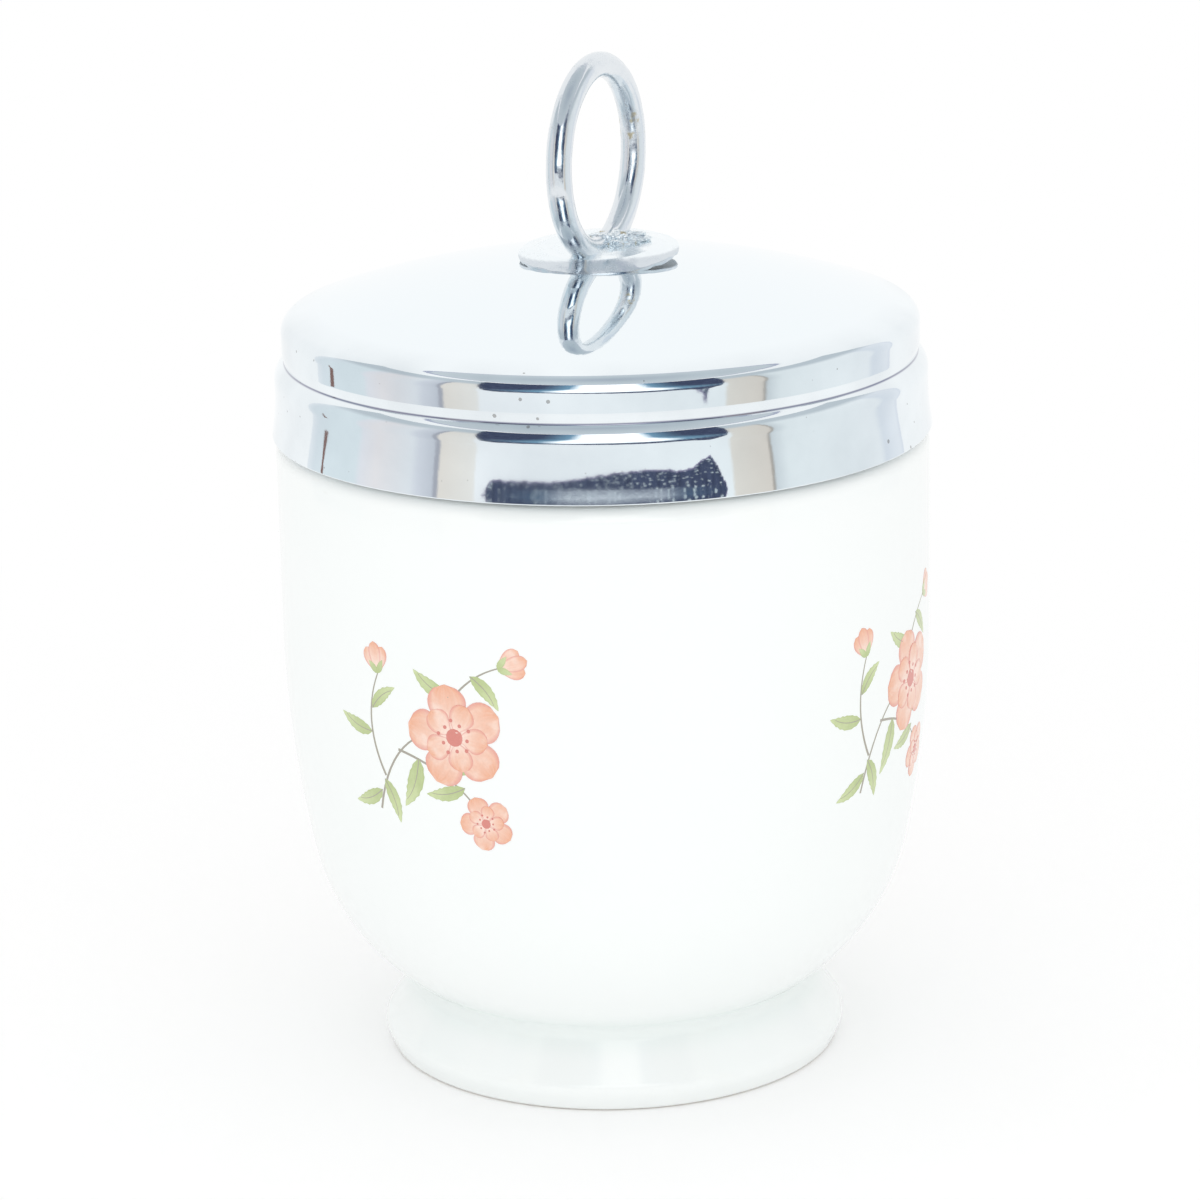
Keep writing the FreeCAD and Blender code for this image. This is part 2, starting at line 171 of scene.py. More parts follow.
class FinialSizes(PropertyGroup):
    """Sizes of the disc, the ring and the braze between them."""

    disc_radius: length("Disc radius", DISC_HIGH.x, "Disc under the ring")
    disc_sheet: length("Disc sheet", 0.4 * MM, "Thickness of the disc")
    disc_curl: length("Disc curl", 0.12 * MM, "The worn edge curls up this much")
    edge_round: length("Edge round", 0.12 * MM, "Rounds of the disc's edge")
    disc_flat: length("Disc flat", 5.75 * MM, "Radius where the disc starts to fall")
    disc_flat_round: length("Disc flat round", 0.8 * MM, "Round of the bend there")
    disc_fall: length("Disc fall", 0.45 * MM, "Fall from there to the edge")
    disc_height: length("Disc height", 81.0 * MM, "Edge of the disc over the table")
    disc_tilt: angle("Disc tilt", 3.5, "The disc was brazed on aslant")
    disc_low_side: angle("Disc low side", 176.6, "Side on which it sits lowest")
    disc_bend: length("Disc bend", 0.5 * MM, "Its edge is bent down this much on one side")
    disc_bent_side: angle("Disc bent side", -156, "Side on which its edge touches the dome")
    ring_radius: length("Ring radius", RING_HIGH.x - 1.25 * MM, "Middle of the wire")
    ring_wire: length("Ring wire", 2.5 * MM, "Wire of the lifting ring")
    ring_foot: length("Ring foot", RING_LOW.z, "Flat ground on the ring's foot")
    ring_wobble: length("Ring wobble", 0.05 * MM, "The bent wire isn't quite even")
    braze_way: angle("Braze way", -66.1, "Way that the braze runs out")
    braze_x: length("Braze X", 2.0 * MM, "Middle of the braze")
    braze_y: length("Braze Y", -0.86 * MM, "Middle of the braze")
    braze_width: length("Braze width", 3.3 * MM, "Reach of the braze beside the ring")
    braze_height: length("Braze height", 1.25 * MM, "Height of the braze")
    braze_lumps: length("Braze lumps", 0.34 * MM, "Lumps and pits of the braze")


class PrintSizes(PropertyGroup):
    """Sizes of the printed flowers."""

    height: length("Print height", 39.5 * MM, "Middle of a print over the table")
    blossom: length("Blossom", 10.4 * MM, "Width of the large blossom")
    small_blossom: length("Small blossom", 5.6 * MM, "Width of the small blossom")
    leaf: length("Leaf", 5.6 * MM, "Length of the longest leaf")
    stem: length("Stem", 0.26 * MM, "Width of the stems")
    lift: length("Lift", 0.012 * MM, "Print's colour over the glaze")
    layer: length("Layer", 0.005 * MM, "From one layer of colour to the next")
    root: length("Root", 0.1 * MM, "The colour reaches this far down, into the glaze")


class Finishes(PropertyGroup):
    """Colours of the finishes."""

    glaze: colour("Glaze", "#F7FAF9", "Clear glaze over white porcelain")
    # Partly painted shade: thicker glaze, and a shaded tint painted into the waist.
    pooled_glaze: colour("Pooled glaze", "#F2F8F6", "Thicker glaze in the hollows")
    bisque: colour("Bisque", "#E6E0D4", "Unglazed standing ring")
    chrome: colour("Chrome", "#F3F9FC", "Bright chrome plate")
    chrome_dull: colour("Dull chrome", "#D3DADF", "Worn and smeared plate")
    wire: colour("Wire", "#E3E8EC", "Plate on the ring and its disc, less bright")
    unpolished: colour("Unpolished plate", "#D6DDE3", "Plate where the disc is bent down")
    # Painted shade: dark purple-grey tone laid in the cap's rolled groove.
    grime: colour("Grime", "#6E6C8C", "Dirt in the groove")
    pit: colour("Pit", "#6E6760", "Pits in the plate")
    speck: colour("Speck", "#B9B0A6", "Iron specks in the porcelain")
    tarnish: colour("Tarnish", "#C9BA92", "Brass that shows through worn plate")
    dusty: colour("Dusty plate", "#D2D5DA", "Dull plate under the disc")
    tin: colour("Tin", "#C9C6BD", "Tinned brass")
    rubber: colour("Rubber", "#8A3B2C", "Sealing rubber")
    rubber_bloom: colour("Rubber bloom", "#A8786C", "Dust on the rubber")
    petal: colour("Petal", "#EDB091", "Blossom")
    petal_edge: colour("Petal edge", "#E39A92", "Edge and shade of a petal")
    petal_light: colour("Petal light", "#FBE6DA", "Light in a petal")
    heart: colour("Heart", "#D98A80", "Middle of a blossom")
    leaf: colour("Leaf", "#D3DFAE", "Leaf")
    leaf_shade: colour("Leaf shade", "#B7C68E", "Shaded side of a leaf")
    line: colour("Line", "#A9A29B", "Stems and outlines")


class StageSizes(PropertyGroup):
    """Camera, floor and light."""

    view_turn: angle("View turn", -66.1, "Camera's way round the cup from the ring's face")
    view_distance: length("View distance", 421.2 * MM, "Camera from the cup's axis")
    view_height: length("View height", 166.1 * MM, "Camera over the floor")
    view_pan: angle("View pan", 0.08, "Camera turned to its left")
    view_drop: angle("View drop", 15.99, "Camera tilted down")
    view_roll: angle("View roll", -1.21, "Camera rolled about its view")
    lens: FloatProperty(name="Lens", description="Focal length on a 36 mm sensor", default=131.82)
    floor_colour: colour("Floor", "#FFFFFF", "Pale floor")
    floor_radius: length("Floor radius", 3.0, "Reach of the floor")
    tent_radius: length("Tent radius", 0.25, "Wall round the cup, which only gloss shows")
    roof_height: length("Roof height", 0.226, "Roof over the cup, which only gloss shows")
    roof_radius: length("Roof radius", 0.12, "Reach of that roof")
    roof_forward: length("Roof forward", 0.036, "Middle of the roof, towards the camera")
    roof_rim: colour("Roof rim", "#C6CED4", "Top of the wall")
    opening_dark: colour("Opening dark", "#262B40", "Dark opening in the wall")
    opening_light: colour("Opening light", "#5A6480", "Ribs in the opening")
    opening_dots: colour("Opening dots", "#D2DEE2", "Dots in the opening")
    fringe: colour("Fringe", "#9A90B4", "Lower edge of the opening")
    halo: colour("Halo", "#86B4D0", "Round the window in the opening")
    post: colour("Post", "#846660", "Brown post at the wall's end")
    ambient: FloatProperty(name="Ambient", description="Light from all round", default=0.93)
    overhead_power: FloatProperty(name="Overhead", description="Lamp overhead, watts", default=0.9)
    front_power: FloatProperty(name="Front", description="Lamp before the cup, watts", default=0.32)


GROUPS = {
    "coddler_cup": CupSizes,
    "coddler_cap": CapSizes,
    "coddler_finial": FinialSizes,
    "coddler_print": PrintSizes,
    "coddler_finish": Finishes,
    "coddler_stage": StageSizes,
}


# ---- drawing on the lathe -----------------------------------------------------------------
def at(corner):
    """Place of a half section's corner, in the XZ plane."""
    return Vector((corner[0], 0, corner[1]))


def turn_at(before, corner, after):
    """Signed angle by which the section turns at a corner, anticlockwise positive."""
    heading_in = math.atan2(corner[1] - before[1], corner[0] - before[0])
    heading_out = math.atan2(after[1] - corner[1], after[0] - corner[0])
    return math.remainder(heading_out - heading_in, 2 * math.pi)


def reaches(corners):
    """How far each corner's round reaches along its sides, eased where two would meet."""
    reach = [0.0] * len(corners)
    for i in range(1, len(corners) - 1):
        turn = turn_at(corners[i - 1], corners[i], corners[i + 1])
        reach[i] = corners[i][2] * math.tan(abs(turn) / 2)
    ease = [1.0] * len(corners)
    for i in range(len(corners) - 1):
        side = (at(corners[i + 1]) - at(corners[i])).length
        wanted = reach[i] + reach[i + 1]
        if wanted > side:
            ease[i] = min(ease[i], side / wanted)
            ease[i + 1] = min(ease[i + 1], side / wanted)
    return [r * e for r, e in zip(reach, ease)]


def line_to(bm, tip, point, longest):
    """Extrudes a section's last vertex to a point, in edges no longer than a limit."""
    start = tip.co.copy()
    gap = (point - start).length
    if gap < HAIR:
        return tip
    count = math.ceil(gap / longest)
    for i in range(count):
        tip = bmesh.ops.extrude_vert_indiv(bm, verts=[tip])["verts"][0]
        tip.co = start.lerp(point, (i + 1) / count)
    return tip


def draw_section(bm, corners, longest, step=math.radians(4)):
    """Draws a half section through (radius, height, round) corners."""
    tip = bm.verts.new(at(corners[0]))
    reach = reaches(corners)
    for i in range(1, len(corners) - 1):
        before, corner, after = corners[i - 1 : i + 2]
        turn = turn_at(before, corner, after)
        heading = (at(corner) - at(before)).normalized()
        tip = line_to(bm, tip, at(corner) - heading * reach[i], longest)
        if reach[i] > HAIR:
            radius = reach[i] / math.tan(abs(turn) / 2)
            side = math.copysign(1, turn)
            centre = tip.co + Vector((-heading.z, 0, heading.x)) * radius * side
            steps = math.ceil(max(abs(turn) / step, abs(turn) * radius / longest))
            made = bmesh.ops.spin(
                bm,
                geom=[tip],
                cent=centre,
                axis=(0, -side, 0),
                dvec=ZERO,
                angle=abs(turn),
                steps=steps,
            )
            tip = made["geom_last"][0]
    return line_to(bm, tip, at(corners[-1]), longest)


def parallel(corners, gap):
    """The same corners shifted by a gap to the left of their direction."""
    shifted = []
    last = len(corners) - 1
    for i, (radius, height, rounding) in enumerate(corners):
        before = corners[max(i, 1) - 1]
        into = corners[i] if i else corners[1]
        turn = turn_at(before, corners[i], corners[i + 1]) if 0 < i < last else 0.0
        heading = math.atan2(into[1] - before[1], into[0] - before[0])
        across = heading + turn / 2 + math.pi / 2
        shift = gap / math.cos(turn / 2)
        rounding = max(rounding - gap * math.copysign(1, turn), 0.0) if turn else 0.0
        shifted.append(
            (radius + shift * math.cos(across), height + shift * math.sin(across), rounding)
        )
    return shifted


def turn_round(bm, steps, centre=ZERO, axis=UP):
    """Turns all that is drawn about an axis into a closed surface."""
    bmesh.ops.spin(
        bm,
        geom=bm.verts[:] + bm.edges[:],
        cent=centre,
        axis=axis,
        dvec=ZERO,
        angle=2 * math.pi,
        steps=steps,
        use_merge=True,
    )
    bmesh.ops.remove_doubles(bm, verts=bm.verts, dist=HAIR)
    bmesh.ops.recalc_face_normals(bm, faces=bm.faces)


def close(bm):
    """Fills the open ends of a surface."""
    bmesh.ops.holes_fill(bm, edges=[e for e in bm.edges if e.is_boundary])
    bmesh.ops.recalc_face_normals(bm, faces=bm.faces)


def cut_flat(bm, height):
    """Grinds a closed surface flat at a height."""
    bmesh.ops.bisect_plane(
        bm,
        geom=bm.verts[:] + bm.edges[:] + bm.faces[:],
        plane_co=(0, 0, height),
        plane_no=(0, 0, -1),
        clear_outer=True,
    )
    close(bm)


def add_piece(bm, name, materials, body, nodes=()):
    """Makes an object of a bmesh, on a body, in place of CAD nodes."""
    for edge in bm.edges:
        edge.smooth = edge.calc_face_angle(0) < CREASE
    for face in bm.faces:
        face.smooth = True
    mesh = bpy.data.meshes.new(name)
    bm.to_mesh(mesh)
    bm.free()
    for material in materials:
        mesh.materials.append(material)
    piece = bpy.data.objects.new(name, mesh)
    bpy.context.scene.collection.objects.link(piece)
    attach(piece, body)
    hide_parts(*nodes)
    return piece


# ---- materials ----------------------------------------------------------------------------
GLAZE_IOR = 1.52
GROOVE_LEVEL = 70.97 * MM            # middle of the cap's rolled groove
RING_SEAM = (8.6 * MM, 0, 91.6 * MM)  # where the lifting ring's ends meet


def in_use(sockets, name=None):
    """The first socket in use, or the first in use with a name."""
    return next(socket for socket in sockets if socket.enabled and name in (None, socket.name))


def add(tree, kind, inputs=None, **settings):
    """Adds a shader node with its settings, and sets its inputs or links them to others."""
    made = tree.nodes.new("ShaderNode" + kind)
    for name, value in settings.items():
        setattr(made, name, value)
    for name, value in (inputs or {}).items():
        socket = made.inputs[name] if isinstance(name, int) else in_use(made.inputs, name)
        if isinstance(value, bpy.types.Node):
            value = in_use(value.outputs)
        if isinstance(value, bpy.types.NodeSocket):
            tree.links.new(value, socket)
        elif socket.type == "RGBA":
            socket.default_value = (*value, 1)
        else:
            socket.default_value = value
    return made


def empty_tree(owner):
    """Node tree of a new material or world, with nothing in it."""
    owner.use_nodes = True
    owner.node_tree.nodes.clear()
    return owner.node_tree


def make(name, recipe, *choices):
    """Makes a material of a recipe, which lays out its nodes and says what the shader gets."""
    material = bpy.data.materials.new(name)
    tree = empty_tree(material)
    place = add(tree, "TexCoord").outputs["Object"]
    shader = add(tree, "BsdfPrincipled", recipe(tree, place, *choices))
    add(tree, "OutputMaterial", {"Surface": shader})
    return material


def glazed_porcelain(tree, place, finish):
    """White porcelain, slip cast, clear glazed and fired; its standing ring is wiped bare."""
    height = add(tree, "SeparateXYZ", {0: place}).outputs["Z"]
    # Glaze runs together in the waist and shows a faint green there; this darker, greener tint is
    # also painted shade of the waist's hollow.
    above = add(tree, "Math", {0: height, 1: 7.4 * MM}, operation="SUBTRACT")
    away = add(tree, "Math", {0: above}, operation="ABSOLUTE")
    pooled_and_shaded = add(
        tree,
        "MapRange",
        {"Value": away, "From Min": 3 * MM, "From Max": 0.3 * MM, "To Max": 0.9},
        interpolation_type="SMOOTHSTEP",
    )
    # Elsewhere it is a little thicker in soft clouds of about 20 mm.
    cloud = add(tree, "TexNoise", {"Vector": place, "Scale": 1 / (20 * MM)})
    soft = add(tree, "MapRange", {"Value": cloud, "From Min": 0.4, "From Max": 0.7, "To Max": 0.2})
    thick = add(tree, "Math", {0: pooled_and_shaded, 1: soft}, operation="MAXIMUM")
    # Iron specks under 0.2 mm across, one in each cell of 14 mm that it falls in.
    cell = add(tree, "TexVoronoi", {"Vector": place, "Scale": 1 / (14 * MM)})
    speck = add(
        tree, "MapRange", {"Value": cell, "From Min": 0.012, "From Max": 0.004, "To Max": 0.35}
    )
    # The standing ring has no glaze: its clay is matt and a little warmer.
    bare = add(tree, "MapRange", {"Value": height, "From Min": 0.2 * MM, "From Max": 0.05 * MM})
    gloss = add(tree, "MapRange", {"Value": bare, "To Min": 0.06, "To Max": 0.7})
    # In the waist the pooled tone is partly painted shade.
    tone = finish.glaze
    for share, coat in ((thick, finish.pooled_glaze), (speck, finish.speck), (bare, finish.bisque)):
        tone = add(tree, "Mix", {"Factor": share, "A": tone, "B": coat}, data_type="RGBA")
    # Glaze levels out to a faint orange peel of about 5 mm.
    peel = add(tree, "TexNoise", {"Vector": place, "Scale": 1 / (5 * MM), "Detail": 1.0})
    relief = add(tree, "Bump", {"Height": peel, "Strength": 0.25, "Distance": 0.03 * MM})
    return {"Base Color": tone, "Roughness": gloss, "IOR": GLAZE_IOR, "Normal": relief}


def chromed_sheet(tree, place, finish):
    """Pressed brass sheet, polished and chrome plated; dull below the shoulder and pitted."""
    height = add(tree, "SeparateXYZ", {0: place}).outputs["Z"]
    # Hands dull the bands more than the dome, in smears of about 10 mm.
    smear = add(tree, "TexNoise", {"Vector": place, "Scale": 1 / (10 * MM), "Detail": 4.0})
    band = add(
        tree,
        "MapRange",
        {"Value": height, "From Min": 76.2 * MM, "From Max": 75 * MM, "To Max": 0.55},
    )
    worn = add(tree, "MapRange", {"Value": smear, "From Min": 0.3, "From Max": 0.7, "To Max": band})
    # Painted shade: the rolled groove is darkened with a purple-grey tone, as shade falls in the
    # crease.
    level = add(tree, "Math", {0: height, 1: GROOVE_LEVEL}, operation="SUBTRACT")
    away = add(tree, "Math", {0: level}, operation="ABSOLUTE")
    groove_shade = add(
        tree,
        "MapRange",
        {"Value": away, "From Min": 0.15 * MM, "From Max": 0.03 * MM, "To Max": 0.8},
    )
    # Pits of 0.1 to 0.3 mm lie thick in patches of about 15 mm, and thin elsewhere.
    patch = add(tree, "TexNoise", {"Vector": place, "Scale": 1 / (15 * MM), "Detail": 1.0})
    size = add(
        tree,
        "MapRange",
        {"Value": patch, "From Min": 0.48, "From Max": 0.68, "To Min": 0.05, "To Max": 0.25},
    )
    size = add(tree, "Math", {0: size, 1: band}, operation="MULTIPLY")
    cell = add(tree, "TexVoronoi", {"Vector": place, "Scale": 1 / (1.6 * MM)})
    pit = add(tree, "Math", {0: cell, 1: size}, operation="LESS_THAN")
    dark = add(tree, "Math", {0: pit, 1: 0.55}, operation="MULTIPLY")
    # Worn smears, the groove's painted shade and the pits, over the bright plate.
    tone = finish.chrome
    for share, coat in ((worn, finish.chrome_dull), (groove_shade, finish.grime), (dark, finish.pit)):
        tone = add(tree, "Mix", {"Factor": share, "A": tone, "B": coat}, data_type="RGBA")
    rough = add(tree, "MapRange", {"Value": worn, "To Min": 0.03, "To Max": 0.12})
    # The press leaves long shallow waves, about 9 mm apart, and the polish a fine grain.
    wave = add(tree, "TexNoise", {"Vector": place, "Scale": 1 / (9 * MM), "Detail": 1.0})
    grain = add(tree, "TexNoise", {"Vector": place, "Scale": 1 / (0.5 * MM), "Detail": 2.0})
    waved = add(tree, "Bump", {"Height": wave, "Strength": 0.3, "Distance": 0.06 * MM})
    grained = add(
        tree,
        "Bump",
        {"Height": grain, "Strength": 0.1, "Distance": 0.012 * MM, "Normal": waved},
    )
    pitted = add(
        tree,
        "Bump",
        {"Height": pit, "Strength": 0.4, "Distance": 0.03 * MM, "Normal": grained},
        invert=True,
    )
    return {"Base Color": tone, "Metallic": 1.0, "Roughness": rough, "Normal": pitted}


def chromed_wire(tree, place, finish, plate, wear):
    """Bent or turned brass, brazed, filed and chrome plated; hand work leaves it uneven."""
    # Plate is worn through to brass in spots of about 0.6 mm.
    spots = add(tree, "TexNoise", {"Vector": place, "Scale": 1 / (1.1 * MM), "Detail": 5.0})
    # Wear is worst at the ring's seam, a third of the way down.
    off_seam = add(tree, "VectorMath", {0: place, 1: RING_SEAM}, operation="DISTANCE")
    near_seam = add(
        tree,
        "MapRange",
        {"Value": off_seam, "From Min": 3.4 * MM, "From Max": 1 * MM, "To Max": 0.17},
    )
    heavy = add(tree, "Math", {0: spots, 1: near_seam}, operation="ADD")
    bare = add(
        tree,
        "MapRange",
        {"Value": heavy, "From Min": 0.72 - wear, "From Max": 0.8 - wear, "To Max": 0.8},
    )
    # The wheel doesn't reach all of it: the attribute says where it stayed dull.
    dull = add(tree, "Attribute", attribute_name="dull").outputs["Fac"]
    tone = plate
    for share, coat in ((dull, finish.unpolished), (bare, finish.tarnish)):
        tone = add(tree, "Mix", {"Factor": share, "A": tone, "B": coat}, data_type="RGBA")
    smooth, rough = 0.05 + wear, 0.35 + wear
    rough = add(
        tree,
        "MapRange",
        {"Value": heavy, "From Min": 0.35, "From Max": 0.75, "To Min": smooth, "To Max": rough},
    )
    # File marks and ripples, about 0.4 mm and 1.5 mm apart.
    ripple = add(tree, "TexNoise", {"Vector": place, "Scale": 1 / (1.5 * MM), "Detail": 1.0})
    marks = add(tree, "TexNoise", {"Vector": place, "Scale": 1 / (0.4 * MM), "Detail": 3.0})
    strong = add(
        tree,
        "MapRange",
        {"Value": heavy, "From Min": 0.5, "From Max": 0.8, "To Min": 0.15, "To Max": 0.9},
    )
    rippled = add(tree, "Bump", {"Height": ripple, "Strength": 0.35, "Distance": 0.06 * MM})
    filed = add(
        tree,
        "Bump",
        {"Height": marks, "Strength": strong, "Distance": 0.05 * MM, "Normal": rippled},
    )
    return {"Base Color": tone, "Metallic": 1.0, "Roughness": rough, "Normal": filed}


def dusty_plate(tree, place, finish):
    """Chrome plate that polish never reached; it is dull, and lint and dust lie on it."""
    dust = add(tree, "TexNoise", {"Vector": place, "Scale": 1 / (1.5 * MM), "Detail": 4.0})
    mixed = {"Factor": dust, "A": finish.dusty, "B": finish.chrome_dull}
    tone = add(tree, "Mix", mixed, data_type="RGBA")
    rough = add(tree, "MapRange", {"Value": dust, "To Min": 0.3, "To Max": 0.5})
    relief = add(tree, "Bump", {"Height": dust, "Strength": 0.3, "Distance": 0.03 * MM})
    return {"Base Color": tone, "Metallic": 0.25, "Roughness": rough, "Normal": relief}


def tinned_brass(tree, place, finish):
    """Spun brass, tin plated; it is satin, a little yellow, and lined by the lathe."""
    stain = add(tree, "TexNoise", {"Vector": place, "Scale": 1 / (6 * MM), "Detail": 5.0})
    share = add(tree, "MapRange", {"Value": stain, "From Min": 0.4, "From Max": 0.75})
    mixed = {"Factor": share, "A": finish.tin, "B": finish.tarnish}
    tone = add(tree, "Mix", mixed, data_type="RGBA")
    rough = add(tree, "MapRange", {"Value": stain, "To Min": 0.22, "To Max": 0.42})
    # Lathe lines, drawn 0.3 mm apart so that they show.
    height = add(tree, "SeparateXYZ", {0: place}).outputs["Z"]
    lines = add(
        tree, "TexNoise", {"W": height, "Scale": 1 / (0.3 * MM)}, noise_dimensions="1D"
    )
    relief = add(tree, "Bump", {"Height": lines, "Strength": 0.3, "Distance": 0.02 * MM})
    return {"Base Color": tone, "Metallic": 1.0, "Roughness": rough, "Normal": relief}


def seal_rubber(tree, place, finish):
    """Moulded rubber, matt, with a bloom of fine dust on it."""
    dust = add(tree, "TexNoise", {"Vector": place, "Scale": 1 / (1.2 * MM), "Detail": 5.0})
    mixed = {"Factor": dust, "A": finish.rubber, "B": finish.rubber_bloom}
    tone = add(tree, "Mix", mixed, data_type="RGBA")
    rough = add(tree, "MapRange", {"Value": dust, "To Min": 0.6, "To Max": 0.85})
    relief = add(tree, "Bump", {"Height": dust, "Strength": 0.4, "Distance": 0.05 * MM})
    return {"Base Color": tone, "Roughness": rough, "Normal": relief}


def enamel(tree, place, base, tip, edge):
    """Overglaze enamel, printed and fired on; its tone runs along and across each stroke."""
    stroke = add(tree, "UVMap", uv_map="stroke")
    across, along, _ = add(tree, "SeparateXYZ", {0: stroke}).outputs
    # Brush-like streaks along the stroke, a tenth of its width each.
    stretched = add(tree, "Mapping", {"Vector": stroke, "Scale": (10, 1.5, 1)})
    streak = add(tree, "TexNoise", {"Vector": stretched, "Scale": 1.0})
    drift = add(tree, "MapRange", {"Value": streak, "To Min": -0.3, "To Max": 0.3})
    along = add(tree, "Math", {0: along, 1: drift}, operation="ADD")
    # The colour is wiped thin in washes of about 2 mm.
    wash = add(tree, "TexNoise", {"Vector": place, "Scale": 1 / (2 * MM)})
    thin = add(tree, "MapRange", {"Value": wash, "From Min": 0.5, "From Max": 0.68, "To Max": 0.6})
    # A darker line round each stroke, as the outline plate prints it.
    off_middle = add(tree, "Math", {0: across, 1: 0.5}, operation="SUBTRACT")
    aside = add(tree, "Math", {0: off_middle}, operation="ABSOLUTE")
    rim = add(tree, "MapRange", {"Value": aside, "From Min": 0.36, "From Max": 0.5, "To Max": 0.75})
    tone = base
    for share, coat in ((along, tip), (thin, base), (rim, edge)):
        tone = add(tree, "Mix", {"Factor": share, "A": tone, "B": coat}, data_type="RGBA")
    # The print's grain, drawn 0.25 mm coarse so that it shows.
    grain = add(tree, "TexNoise", {"Vector": place, "Scale": 1 / (0.25 * MM)})
    bright = add(tree, "MapRange", {"Value": grain, "To Min": 0.93, "To Max": 1.07})
    tone = add(tree, "VectorMath", {0: tone, "Scale": bright}, operation="SCALE")
    return {"Base Color": tone, "Roughness": 0.14, "IOR": GLAZE_IOR}


# ---- pieces -------------------------------------------------------------------------------
THREAD_SINK = 0.1 * MM            # a thread's ends run out this far under the neck's face
RING_SEED = 3                     # noise vectors differ from run to run unless they are seeded
RING_RIPPLE = 4 * MM              # distance between the bent wire's uneven places
DISC_STEP = 0.25 * MM             # longest edge in the disc's half section
DISC_WEAR = 0.14                  # share of the disc's radius over which its edge is worn
DISC_NIBBLE = 0.02                # share of its radius that wear has taken
DISC_UPTURN = 0.5                 # share of its curl that is the same all round
DISC_RIPPLES = ((1.1 * MM, 1.0), (3.5 * MM, 0.6))  # lengths and strengths of its uneven wear
DISC_DULL_FADE = 0.03             # share of its radius over which polish gives way to dull
UNDERSIDE = -0.4                  # a face is dusty if its normal points down more than this
BRAZE_NOISE = (3.1, 0.7, 2.1, 4)  # scale, roughness, lacunarity and octaves of its lumps
BRAZE_SWELL = 0.55                # strength of those lumps
BRAZE_FLAT = 0.7                  # its breadth over its width
BRAZE_SINK = 0.2 * MM             # its middle lies this far under the disc's top
FIN_START = 0.55                  # beyond this share of its reach the braze is drawn out
FIN_STEEPNESS = 1.6               # how fast that grows from there
FIN_REACH, FIN_RISE = 0.5, 0.35   # how far that takes it out and up


def cup_section(cup):
    """Corners of the cup's half section, from the middle of its hollow foot round to its floor."""
    side = (cup.body_radius, cup.side_corner, cup.side_round)
    hip = (cup.body_radius - cup.hip_inset, cup.hip_height, cup.hip_round)
    waist = (cup.foot_radius - cup.waist_inset, cup.waist_height, cup.waist_round)
    shoulder = (cup.body_radius, cup.body_height, cup.body_edge_round)
    floor = cup.recess_depth + cup.floor
    _, inner_hip, inner_side, _ = parallel([waist, hip, side, shoulder], cup.wall)
    lean = (hip[0] - waist[0]) / (hip[1] - waist[1])
    floor_radius = inner_hip[0] - (inner_hip[1] - floor) * lean
    recess = cup.foot_radius - cup.foot_ring_width
    bore = cup.neck_radius - cup.neck_wall
    bore_end = cup.body_height - cup.inner_shoulder_drop
    return [
        (0, cup.recess_depth, 0),
        (recess - cup.recess_draft, cup.recess_depth, cup.recess_round),
        (recess, 0, cup.foot_edge_round),
        (cup.foot_radius, 0, cup.foot_edge_round),
        (cup.foot_radius + cup.foot_bulge, cup.foot_bulge_height, cup.foot_bulge_round),
        waist,
        hip,
        side,
        shoulder,
        (cup.neck_radius, cup.body_height, cup.neck_foot_round),
        (cup.neck_radius, cup.rim_height, cup.rim_round),
        (bore, cup.rim_height, cup.rim_round),
        (bore, bore_end, cup.inner_shoulder_round),
        (cup.body_radius - cup.wall, bore_end - cup.inner_shoulder_slope, cup.inner_shoulder_round),
        inner_side,
        inner_hip,
        (floor_radius, floor, cup.floor_round),
        (0, floor, 0),
    ]


def thread_ridge(cup, sides=16, steps=140):
    """Half-round ridge on the neck, run out into it at both ends."""
    bm = bmesh.new()
    start = cup.body_height + cup.thread_start
    stand = Matrix.Translation((cup.neck_radius, 0, start)) @ Matrix.Rotation(math.pi / 2, 4, "X")
    bmesh.ops.create_circle(bm, segments=sides, radius=cup.thread_height, matrix=stand)
    for vert in bm.verts:
        vert.co.x = max(vert.co.x, cup.neck_radius - cup.thread_bury)
    bmesh.ops.spin(
        bm,
        geom=bm.verts[:] + bm.edges[:],
        cent=ZERO,
        axis=UP,
        dvec=(0, 0, cup.thread_pitch * cup.thread_turns / steps),
        angle=2 * math.pi * cup.thread_turns,
        steps=steps,
    )
    fade_steps = steps / 10
    for i, vert in enumerate(bm.verts):
        step = i // sides
        share = min(1.0, step / fade_steps, (steps - step) / fade_steps)
        radius = math.hypot(vert.co.x, vert.co.y)
        sunk = (1 - share) ** 2 * (cup.thread_height + THREAD_SINK)
        vert.co.xy *= (radius - sunk) / radius
    close(bm)
    return bm


def join(bm, other):
    """Adds another bmesh's surface to a bmesh."""
    mesh = bpy.data.meshes.new("joined")
    other.to_mesh(mesh)
    other.free()
    bm.from_mesh(mesh)
    bpy.data.meshes.remove(mesh)


